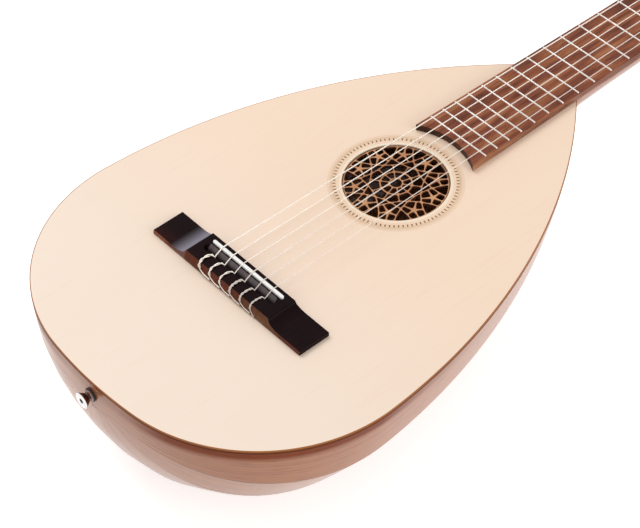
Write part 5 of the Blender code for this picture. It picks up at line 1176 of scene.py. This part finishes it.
for side, label in ((-1.0, "bass"), (1.0, "treble")):
    corner = tuner["plateCorner"]
    lowZ, highZ = -head["depth"] - tuner["plateHalf"], -head["depth"] + tuner["plateHalf"]
    outline = []
    for y, z, start in ((lastY - corner, highZ - corner, 0.0), (firstY + corner, highZ - corner, 0.5),
                        (firstY + corner, lowZ + corner, 1.0), (lastY - corner, lowZ + corner, 1.5)):
        outline += [(y + corner * math.cos(math.pi * (start + k / 16.0)), z + corner * math.sin(math.pi * (start + k / 16.0)))
                    for k in range(9)]
    bores = [circleLoop(tuner["shaft"] + tuner["gap"], y, -head["depth"], 28) for y in head["rollers"]]
    low, high = sorted((side * plateX, side * (plateX + tuner["plateThick"])))
    meshes = [moved(cutPlate("plate", [outline] + bores, low, high, 0.00025), sideways)]
    for y in head["rollers"]:
        wormY = y - wormDistance
        for direction in (-1.0, 1.0):
            reach, half = gearX - plateX + tuner["wormShaft"] + tuner["earRim"] - tuner["earHalf"], tuner["earHalf"]
            ear = [(-half, tuner["plateThick"] * 0.6), (half, tuner["plateThick"] * 0.6)]
            ear += [(half * math.cos(math.pi * k / 16.0), reach + half * math.sin(math.pi * k / 16.0)) for k in range(17)]
            hole = circleLoop(tuner["wormShaft"] + tuner["gap"], 0.0, gearX - plateX, 24)
            z = -head["depth"] + direction * (tuner["earOffset"] + tuner["ear"] / 2.0)
            mesh = cutPlate("ear", [ear, hole], -tuner["ear"] / 2.0, tuner["ear"] / 2.0, 0.00015)
            standing = Matrix(((0.0, side, 0.0, side * plateX), (1.0, 0.0, 0.0, wormY), (0.0, 0.0, 1.0, z), (0.0, 0.0, 0.0, 1.0)))
            meshes.append(moved(mesh, standing))
    addPiece("tunerPlate" + label.capitalize(), moved(joined("tunerPlate", meshes), headStand), "brass",
             ("tuner_plate_" + label,), angle=20)
    screwPoints = bpy.data.meshes.new("screwPoints")
    gaps = (firstY + 0.0028, (head["rollers"][0] + head["rollers"][1] - wormDistance + 0.0022) / 2.0,
            (head["rollers"][1] + head["rollers"][2] - wormDistance + 0.0022) / 2.0, lastY - 0.0031)
    screwPoints.from_pydata([(y, -head["depth"], 0.0) for y in gaps], [], [])
    screws = treeMesh("plateScrews" + label.capitalize(), screwRecipe, {"Pattern": screwPattern, "Scale": 1.0, "Seed": 4},
                      screwPoints)
    outwards = Matrix(((0.0, 0.0, side, side * (plateX + tuner["plateThick"])), (1.0, 0.0, 0.0, 0.0),
                       (0.0, 1.0, 0.0, 0.0), (0.0, 0.0, 0.0, 1.0)))
    addPiece("plateScrews" + label.capitalize(), moved(screws, headStand @ outwards), angle=30)
bpy.data.objects.remove(screwPattern, do_unlink=True)


def gearLoop():
    root, tip = gearRadius - tuner["dedendum"], gearRadius + tuner["addendum"]
    pitch, points = 2.0 * math.pi / tuner["teeth"], []
    for tooth in range(tuner["teeth"]):
        middle = math.pi + pitch * (tooth + 0.5)
        rootHalf, tipHalf = pitch * (tuner["toothShare"] + 0.12) / 2.0, pitch * (tuner["toothShare"] - 0.10) / 2.0
        for radius, offset in ((root, -rootHalf), (tip - 0.0001, -tipHalf - 0.012), (tip, -tipHalf + 0.012), (tip, 0.0),
                               (tip, tipHalf - 0.012), (tip - 0.0001, tipHalf + 0.012), (root, rootHalf)):
            points.append((radius * math.cos(middle + offset), radius * math.sin(middle + offset)))
    return points


def wormPoint(radius, turn, z):
    angle = math.pi / 2.0 + 2.0 * math.pi * turn     # the ridge's middle turn faces the gear
    return (radius * math.cos(angle), radius * math.sin(angle), z)


def wormMesh():
    # One closed surface: the ridge wound on the core, the root between its turns, and the shaft
    sides, pitch = tuner["wormSides"], tuner["pitch"]
    steps = int(round(tuner["wormTurns"] * sides))
    baseHalf, crestHalf = pitch * (tuner["threadShare"] + 0.16) / 2.0, pitch * (tuner["threadShare"] - 0.06) / 2.0
    points, faces = [], []
    for i in range(steps + 1):
        turn = i / sides - tuner["wormTurns"] / 2.0
        fade = min(1.0, (i + 0.6) / (0.35 * sides), (steps - i + 0.6) / (0.35 * sides))
        crest = tuner["wormRoot"] + (tuner["wormCrest"] - tuner["wormRoot"]) * math.sin(fade * math.pi / 2.0)
        for radius, height in ((tuner["wormRoot"], -baseHalf), (crest, -crestHalf), (crest, crestHalf), (tuner["wormRoot"], baseHalf)):
            points.append(wormPoint(radius, turn, pitch * turn + height))
    for i in range(steps):
        low, high = 4 * i, 4 * (i + 1)
        faces += [(low + j, high + j, high + j + 1, low + j + 1) for j in range(3)]
        if i + sides < steps:
            above, beyond = 4 * (i + sides), 4 * (i + sides + 1)
            faces.append((low + 3, high + 3, beyond, above))
    faces += [(0, 1, 2, 3), (4 * steps, 4 * steps + 3, 4 * steps + 2, 4 * steps + 1)]
    shoulder = tuner["earOffset"] - tuner["gap"]
    for end, last, lip in ((-1, 0, 0), (1, steps, 3)):
        tip = -(tuner["buttonStart"] + 0.004) if end < 0 else tuner["earOffset"] + tuner["ear"] + tuner["shaftEnd"]
        start = len(points)
        for radius, z in ((tuner["wormRoot"], end * shoulder), (tuner["wormShaft"], end * shoulder), (tuner["wormShaft"], tip)):
            points += [wormPoint(radius, (last - end * k) / sides - tuner["wormTurns"] / 2.0, z) for k in range(sides)]
        for k in range(sides):
            n = (k + 1) % sides
            here, there = 4 * (last - end * k) + lip, 4 * (last - end * (k + 1)) + lip
            face = [start + k, start + n, there, here]
            if n == 0:
                face = [start + k, start, 4 * last + lip, 4 * last + 3 - lip, there, here]
            faces.append(tuple(face))
            for ring in (start, start + sides):
                faces.append((ring + k, ring + n, ring + sides + n, ring + sides + k))
        faces.append(tuple(range(start + 2 * sides, start + 3 * sides)))
    return meshFrom("worm", points, faces)


def buttonMesh():
    # An oval grip, waisted towards the shaft; its small steel collar is made apart
    rows = ((0.0, 0.40), (0.10, 0.55), (0.30, 0.92), (0.60, 1.0), (0.88, 0.86), (1.0, 0.55))
    rings = []
    for i in range(27):
        share = i / 24.0
        swell = curveValue(rows, min(share, 1.0)) * (1.0 if share <= 0.9 else max(0.02, math.cos((share - 0.9) / 0.185 * math.pi / 2.0)) ** 0.45)
        z = -(tuner["buttonStart"] + tuner["buttonLong"] * min(share, 1.0) * 0.999)
        if share > 1.0:
            continue
        ring = []
        for k in range(36):
            angle = 2.0 * math.pi * k / 36
            c, s = math.cos(angle), math.sin(angle)
            ring.append((tuner["buttonThick"] * swell * math.copysign(abs(c) ** 0.85, c),
                         tuner["buttonHalf"] * swell * math.copysign(abs(s) ** 0.85, s), z))
        rings.append(ring)
    return loft("tunerButton", rings)


for number in range(1, 7):
    side, y = tunerSeat(number)
    axle = headStand @ shift(0.0, y, -head["depth"])
    stem = headStand @ shift(side * gearX, y - wormDistance, -head["depth"])
    wall, tipStart = plateX - tuner["gap"], head["slotIn"] + tuner["step"]
    along = Matrix(((0.0, 0.0, side, 0.0), (0.0, 1.0, 0.0, 0.0), (1.0, 0.0, 0.0, 0.0), (0.0, 0.0, 0.0, 1.0)))
    profile = [(tuner["tipRadius"] - 0.0003, head["slotIn"] - tuner["tipLong"]), (tuner["tipRadius"], head["slotIn"] - tuner["tipLong"] + 0.0003),
               (tuner["tipRadius"], tipStart), (tuner["rollerRadius"] - 0.0003, tipStart), (tuner["rollerRadius"], tipStart + 0.0003),
               (tuner["rollerRadius"], wall - 0.0003), (tuner["rollerRadius"] - 0.0003, wall)]
    addPiece("stringRoller%d" % number, moved(lathe("stringRoller", profile, 40), axle @ along), "ivory",
             ("string_roller_%d" % number,), "roller_%d" % number, 40)
    profile = [(tuner["shaft"], wall - 0.0001), (tuner["shaft"], gearX + tuner["gearThick"] * 0.2)]
    addPiece("rollerShaft%d" % number, moved(lathe("rollerShaft", profile, 28), axle @ along), "steel", (),
             "roller_%d" % number, 40)
    low, high = sorted((side * (gearX - tuner["gearThick"] / 2.0), side * (gearX + tuner["gearThick"] / 2.0)))
    gearMesh = moved(cutPlate("gear", [gearLoop()], low, high, 0.00012), axle @ sideways)
    addPiece("gear%d" % number, gearMesh, "brass", ("roller_gear_%d" % number,), "roller_%d" % number, 20)
    screw = slottedScrew("gearScrew", tuner["screwRadius"], tuner["screwHeight"])
    face = Matrix(((0.0, 0.0, side, side * (gearX + tuner["gearThick"] / 2.0)), (math.cos(number), -math.sin(number), 0.0, 0.0),
                   (math.sin(number), math.cos(number), 0.0, 0.0), (0.0, 0.0, 0.0, 1.0)))
    addPiece("gearScrew%d" % number, moved(screw, axle @ face), "steel", (), "roller_%d" % number, 30)
    addPiece("worm%d" % number, moved(wormMesh(), stem), "steel", ("worm_%d" % number,), "tuner_%d" % number, 30)
    collar = [(tuner["wormShaft"] + 0.00005, -tuner["buttonStart"] + 0.0022), (0.0024, -tuner["buttonStart"] + 0.0022),
              (0.0027, -tuner["buttonStart"] + 0.0017), (0.0025, -tuner["buttonStart"] + 0.0008),
              (0.0030, -tuner["buttonStart"] + 0.0003), (tuner["wormShaft"] + 0.00005, -tuner["buttonStart"] + 0.0001)]
    addPiece("buttonCollar%d" % number, moved(lathe("buttonCollar", collar, 28, True), stem), "steel", (), "tuner_%d" % number, 40)
    addPiece("button%d" % number, moved(buttonMesh(), stem), "ivory", ("tuner_button_%d" % number,), "tuner_%d" % number, 60)
print("tuning machines done")

# Strings: a tree sweeps a round wire along each path, from the roller's winding to the knot on the bridge
knot = {"step": 7, "loose": 0.00004, "doubledTurns": (1.5, 2.5), "tailDrop": 0.0022, "windingGap": 0.0055, "windingRow": 0.0030}

wireRecipe = newTree("wireAlongPath", (("Radius", "Float", 0.0005), ("Sides", "Int", 12), ("Finish", "Material", None)))
tree, ins, sockets = wireRecipe
path = addNode(tree, "GeometryNodeMeshToCurve", {0: ins["Geometry"]}).outputs[0]
travelled = addNode(tree, "GeometryNodeSplineParameter").outputs["Length"]
measured = addNode(tree, "GeometryNodeStoreNamedAttribute", {"Geometry": path, "Name": "along", "Value": travelled},
                   data_type="FLOAT").outputs[0]
profile = addNode(tree, "GeometryNodeCurvePrimitiveCircle", {"Resolution": ins["Sides"], "Radius": ins["Radius"]}).outputs[0]
wire = addNode(tree, "GeometryNodeCurveToMesh", {"Curve": measured, "Profile Curve": profile, "Fill Caps": True}).outputs[0]
endTree(tree, wire, ins["Finish"])


def windingPath(number, gauge, nutPoint):
    # From the wire's end, tucked into the roller, round and up to where it leaves for the nut
    side, y = tunerSeat(number)
    startX = side * (head["slotOut"] - knot["windingGap"] - knot["windingRow"] * head["rollers"].index(y))
    radius = tuner["rollerRadius"] + 0.0001 + gauge / 2.0
    local = headOnly.inverted() @ nutPoint
    reachY, reachZ = local.y - y, local.z + head["depth"]
    tangent = math.atan2(reachZ, reachY) - math.acos(radius / math.hypot(reachY, reachZ))
    points, count = [], int(strings["turns"] * 24)
    for i in range(count + 3):
        turn, depth = i / 24.0, radius - max(0, i - count) * 0.0009
        angle = tangent - 2.0 * math.pi * turn
        points.append(headOnly @ Vector((startX + side * turn * (gauge + 0.0004), y + depth * math.cos(angle),
                                         -head["depth"] + depth * math.sin(angle))))
    return points[::-1]


def knotPath(x, gauge, wound, reach):
    # Through the block, up over it, round the standing wire, back twisted with itself, and its tail along the
    # block's back under the next knot; in millimetres
    g, top = gauge * 1000.0, bridge["block"] * 1000.0 + knot["loose"] * 1000.0
    wall = bridge["troughBack"] * 1000.0
    rise = bridge["block"] - bridge["backLip"]

    def onFace(dx, z, away):
        y = bridge["back"] * 1000.0 + (z - bridge["backLip"] * 1000.0) * bridge["backBevel"] / rise
        return Vector((dx, y - 0.922 * away, z + 0.388 * away))

    bow = 1.0 if wound else 0.55
    middle = smoothPath([Vector((-0.3, wall - 0.3, top + g * 0.9)), Vector((-1.3 * bow, wall - 2.0, top + g * 1.05)),
                         Vector((-2.1 * bow, -19.0, top + g * 1.1)), Vector((-2.0 * bow, -22.6, top + g * 1.05)),
                         Vector((-1.5 * bow, -24.9, top + g * 0.8)), onFace(-1.1 * bow, 7.4, g * 1.05),
                         onFace(-0.5 * bow, 5.8, g * 1.2)], knot["step"])
    turns = knot["doubledTurns"][0 if wound else 1]

    def strand(phase):
        points = []
        for k, here in enumerate(middle):
            heading = middle[min(k + 1, len(middle) - 1)] - middle[max(k - 1, 0)]
            lifted = heading.cross(Vector((-1.0, 0.0, 0.0))).normalized()
            lateral = lifted.cross(heading).normalized()
            angle = phase + 2.0 * math.pi * turns * k / (len(middle) - 1)
            points.append(here + (lateral * math.cos(angle) + lifted * math.sin(angle)) * (g / 2.0 + 0.03))
        return points

    out, back = strand(math.pi), strand(0.0)
    hole = bridge["holeZ"] * 1000.0
    leaving = smoothPath([Vector((0.0, wall - 0.2, hole)), Vector((0.0, -19.0, hole)), Vector((0.0, -25.8, hole)),
                          onFace(0.0, hole - 0.1, g * 0.55), out[-2]], 5)
    round_ = smoothPath([out[0], Vector((-g * 0.95, wall + 0.6, top - 0.7)), Vector((-g * 0.7, wall + 1.2, 5.9)),
                         Vector((0.1, wall + 1.5, 5.55 - g * 0.8)), Vector((g * 0.95, wall + 1.1, 6.0)),
                         Vector((g * 0.95, wall + 0.5, top - 0.6)), back[0]], 5)
    tail = smoothPath([back[-1], onFace(0.8, 4.6, g * 1.0), onFace(2.2, 3.7, g * 0.65)] + [
        Vector((2.2 + (reach * 1000.0 - 2.2) * share, bridge["back"] * 1000.0 - g * 0.58,
                3.1 - (3.1 - knot["tailDrop"] * 1000.0) * share)) for share in (0.35, 0.7, 1.0)], 5)
    return [Vector((x + p.x / 1000.0, p.y / 1000.0, p.z / 1000.0))
            for p in leaving + out[-3::-1] + round_[1:] + back[1:] + tail[1:]]


for number in range(1, 7):
    index = 6 - number
    gauge = strings["gauges"][index]
    xSaddle, xNut = strings["saddleSpread"] * (index / 5.0 - 0.5), strings["nutSpread"] * (index / 5.0 - 0.5)
    crown = saddle["top"] + gauge / 2.0
    nutFront = Vector((xNut, neck["scale"] - 0.0002, strings["nutHeight"]))
    nutBack = Vector((xNut, neck["scale"] + nut["long"] + 0.0004, strings["nutHeight"]))
    route = windingPath(number, gauge, nutBack) + [nutBack, nutFront]
    route += [Vector((xSaddle, saddle["y"] + 0.0007, crown)), Vector((xSaddle, saddle["y"] + 0.0002, crown + 0.00003)),
              Vector((xSaddle, saddle["y"] - 0.0004, crown)), Vector((xSaddle, saddle["y"] - 0.0010, crown - 0.0003))]
    route += knotPath(xSaddle, gauge, number >= 4, strings["saddleSpread"] / 5.0 * (1.04 if number > 1 else 0.42))
    pathMesh = bpy.data.meshes.new("stringPath")
    pathMesh.from_pydata([tuple(stand @ p) for p in route], [(i, i + 1) for i in range(len(route) - 1)], [])
    wireMesh = treeMesh("string%d" % number, wireRecipe, {
        "Radius": gauge / 2.0, "Sides": strings["sides"], "Finish": finishes["wound" if number >= 4 else "nylon"]}, pathMesh)
    addPiece("string%dFine" % number, wireMesh, None, ("string_%d" % number,), angle=60)
print("strings done")

# Strap button and its felt washer, turned round y at the tail
strap = {"washer": 0.0013, "washerRadius": 0.0058, "bore": 0.0023, "long": 0.0079, "collar": 0.0050, "collarLong": 0.0015,
         "waist": 0.0038, "rim": 0.0067, "rimLong": 0.0009, "screw": 0.0020, "screwLong": 0.0150, "drop": 0.0150,
         "recess": 0.0021, "recessDeep": 0.0020}
backwards = Matrix(((1.0, 0.0, 0.0, 0.0), (0.0, 0.0, -1.0, 0.0), (0.0, 1.0, 0.0, 0.0), (0.0, 0.0, 0.0, 1.0)))
strapSeat = stand @ shift(0.0, body["tailY"] - body["fitGap"], -strap["drop"]) @ backwards
felt = [(strap["bore"], 0.0), (strap["washerRadius"] - 0.0003, 0.0), (strap["washerRadius"], 0.0004),
        (strap["washerRadius"] + 0.00005, strap["washer"] / 2.0), (strap["washerRadius"], strap["washer"] - 0.0004),
        (strap["washerRadius"] - 0.0003, strap["washer"]), (strap["bore"], strap["washer"])]
addPiece("strapWasher", moved(lathe("strapWasher", felt, 72, True), strapSeat), "felt", ("strap_button_washer",), angle=50)
foot = strap["washer"] + body["fitGap"]
face = foot + strap["long"]
waistRows = ((foot + strap["collarLong"] + 0.0001, strap["collar"] - 0.0002), (foot + 0.0020, strap["waist"] + 0.0002),
             (foot + 0.0023, strap["waist"]), (foot + 0.0027, strap["waist"] + 0.0002),
             (face - strap["rimLong"], strap["rim"]))
shank = [(strap["screw"], -strap["screwLong"] - body["fitGap"]), (strap["screw"], foot), (strap["collar"] - 0.0002, foot),
         (strap["collar"], foot + 0.0002), (strap["collar"], foot + strap["collarLong"])]
for k in range(17):
    place = waistRows[0][0] + (waistRows[-1][0] - waistRows[0][0]) * k / 16.0
    shank.append((curveValue(waistRows, place), place))
shank += [(strap["rim"] + 0.0001, face - strap["rimLong"] * 0.5), (strap["rim"], face - 0.0004),
          (strap["rim"] - 0.0003, face - 0.0001), (strap["rim"] - 0.0008, face), (strap["recess"] + 0.0002, face - 0.0001),
          (strap["recess"], face - 0.0003), (strap["recess"] - 0.0003, face - strap["recessDeep"])]
button = addPiece("strapButton", moved(lathe("strapButton", shank, 72), strapSeat), "chrome", ("strap_button",), angle=40)
# painted reflection: the flare dark and red, as it shows the bowl
paint(button, "shadedChrome", lambda centre, normal: (
    foot + strap["collarLong"] < body["tailY"] - body["fitGap"] - centre.y < face - strap["rimLong"]))
mouth = (strapSeat @ Vector((0.0, 0.0, face - 0.0002))).y
paint(button, "shadow", lambda centre, normal: centre.y + lift.y > mouth and
      math.hypot(centre.x, centre.z + strap["drop"]) < strap["recess"] + 0.00005 and centre.y < body["tailY"] - face * 0.7)
seat = face - strap["recessDeep"]
screwHead = [(strap["recess"] - 0.0004, seat + 0.00005), (strap["recess"] - 0.0006, seat + 0.0004),
             (0.0010, seat + 0.0006), (0.0003, seat + 0.0007)]
crossCuts = [moved(cutPlate("crossCut", [[(-0.0010, -0.00024), (0.0010, -0.00024), (0.0010, 0.00024), (-0.0010, 0.00024)]],
                            seat + 0.0002, face), Matrix.Rotation(math.radians(turn), 4, "Z")) for turn in (30.0, 120.0)]
screwMesh = carved("strapScrew", lathe("strapScrew", screwHead, 48), (crossCuts[:1], crossCuts[1:]))
addPiece("strapScrew", moved(screwMesh, strapSeat), "shadow", angle=0)

# The pieces inside the bowl stay as they are
for nodeName in ("lining_bass", "lining_treble", "upper_brace", "middle_brace", "lower_brace", "neck_block", "tail_block"):
    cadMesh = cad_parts[nodeName].data
    cadMesh.materials.clear()
    cadMesh.materials.append(finishes["inner"])
print("strap button and inner pieces done")

# Floor, light and camera
studio = {
    "focal": 2200.0, "width": 640.0, "height": 528.0, "centreX": 341.6, "centreY": 264.1,
    "eye": (0.8926, -0.7096, 1.2130), "forward": (-0.5121, 0.4591, -0.7260), "right": (0.6720, 0.7406, -0.0057),
    "floorTone": 0.92, "floorGlow": 0.60, "surroundings": 0.62, "keyEnergy": 20.5, "fillEnergy": 18.0,
    "keyAt": (-1.4, -0.4, 2.1), "keySize": 1.6, "fillAt": (2.2, 0.3, 0.8), "fillSize": 1.8}


def seenDirectly(tree):
    # 1 for rays from the camera and for those that metal and glass send on
    rays = tree.nodes.new("ShaderNodeLightPath").outputs
    return mathNode(tree, "MAXIMUM", mathNode(tree, "MAXIMUM", rays["Is Camera Ray"], rays["Is Glossy Ray"]),
                    rays["Is Transmission Ray"])


floorMat, tree, shader = newMaterial("paleFloor", {"shader": {
    "Base Color": (studio["floorTone"],) * 3 + (1.0,), "Roughness": 0.9, "Emission Color": (1.0, 1.0, 1.0, 1.0)}})
tree.links.new(mathNode(tree, "MULTIPLY", seenDirectly(tree), studio["floorGlow"]), shader.inputs["Emission Strength"])
floorMesh = meshFrom("floor", [(-15.0, -15.0, -0.0005), (15.0, -15.0, -0.0005), (15.0, 15.0, -0.0005), (-15.0, 15.0, -0.0005)],
                     [(0, 1, 2, 3)])
floorMesh.materials.append(floorMat)
floor = newObject("floor", floorMesh)

world = bpy.data.worlds.new("studioWorld")
bpy.context.scene.world = world
world.use_nodes = True
tree = world.node_tree
shine = mathNode(tree, "ADD", mathNode(tree, "MULTIPLY", seenDirectly(tree), 1.0 - studio["surroundings"]), studio["surroundings"])
tree.nodes["Background"].inputs["Color"].default_value = (1.0, 1.0, 1.0, 1.0)
tree.links.new(shine, tree.nodes["Background"].inputs["Strength"])


def areaLight(name, location, target, size, energy):
    data = bpy.data.lights.new(name, "AREA")
    data.shape, data.size, data.energy = "DISK", size, energy
    lamp = newObject(name, data)
    lamp.location = location
    lamp.rotation_euler = (Vector(target) - Vector(location)).to_track_quat("-Z", "Y").to_euler()


areaLight("keyLight", studio["keyAt"], (0.0, -0.25, 0.1), studio["keySize"], studio["keyEnergy"])
areaLight("fillLight", studio["fillAt"], (0.0, -0.25, 0.05), studio["fillSize"], studio["fillEnergy"])

camera = bpy.data.cameras.new("photoCamera")
camera.sensor_width = 36.0
camera.lens = studio["focal"] / studio["width"] * 36.0
camera.shift_x = (studio["width"] / 2.0 - studio["centreX"]) / studio["width"]
camera.shift_y = (studio["centreY"] - studio["height"] / 2.0) / studio["width"]
camera.clip_end = 50.0
cameraObject = newObject("photoCamera", camera)
forward = Vector(studio["forward"]).normalized()
right = Vector(studio["right"])
right = (right - forward * right.dot(forward)).normalized()
up = right.cross(forward)
eye = lift + Vector(studio["eye"])
cameraObject.matrix_world = Matrix((
    (right.x, up.x, -forward.x, eye.x), (right.y, up.y, -forward.y, eye.y),
    (right.z, up.z, -forward.z, eye.z), (0.0, 0.0, 0.0, 1.0)))
bpy.context.scene.camera = cameraObject
bpy.context.scene.view_settings.view_transform = "Standard"
print("studio done")
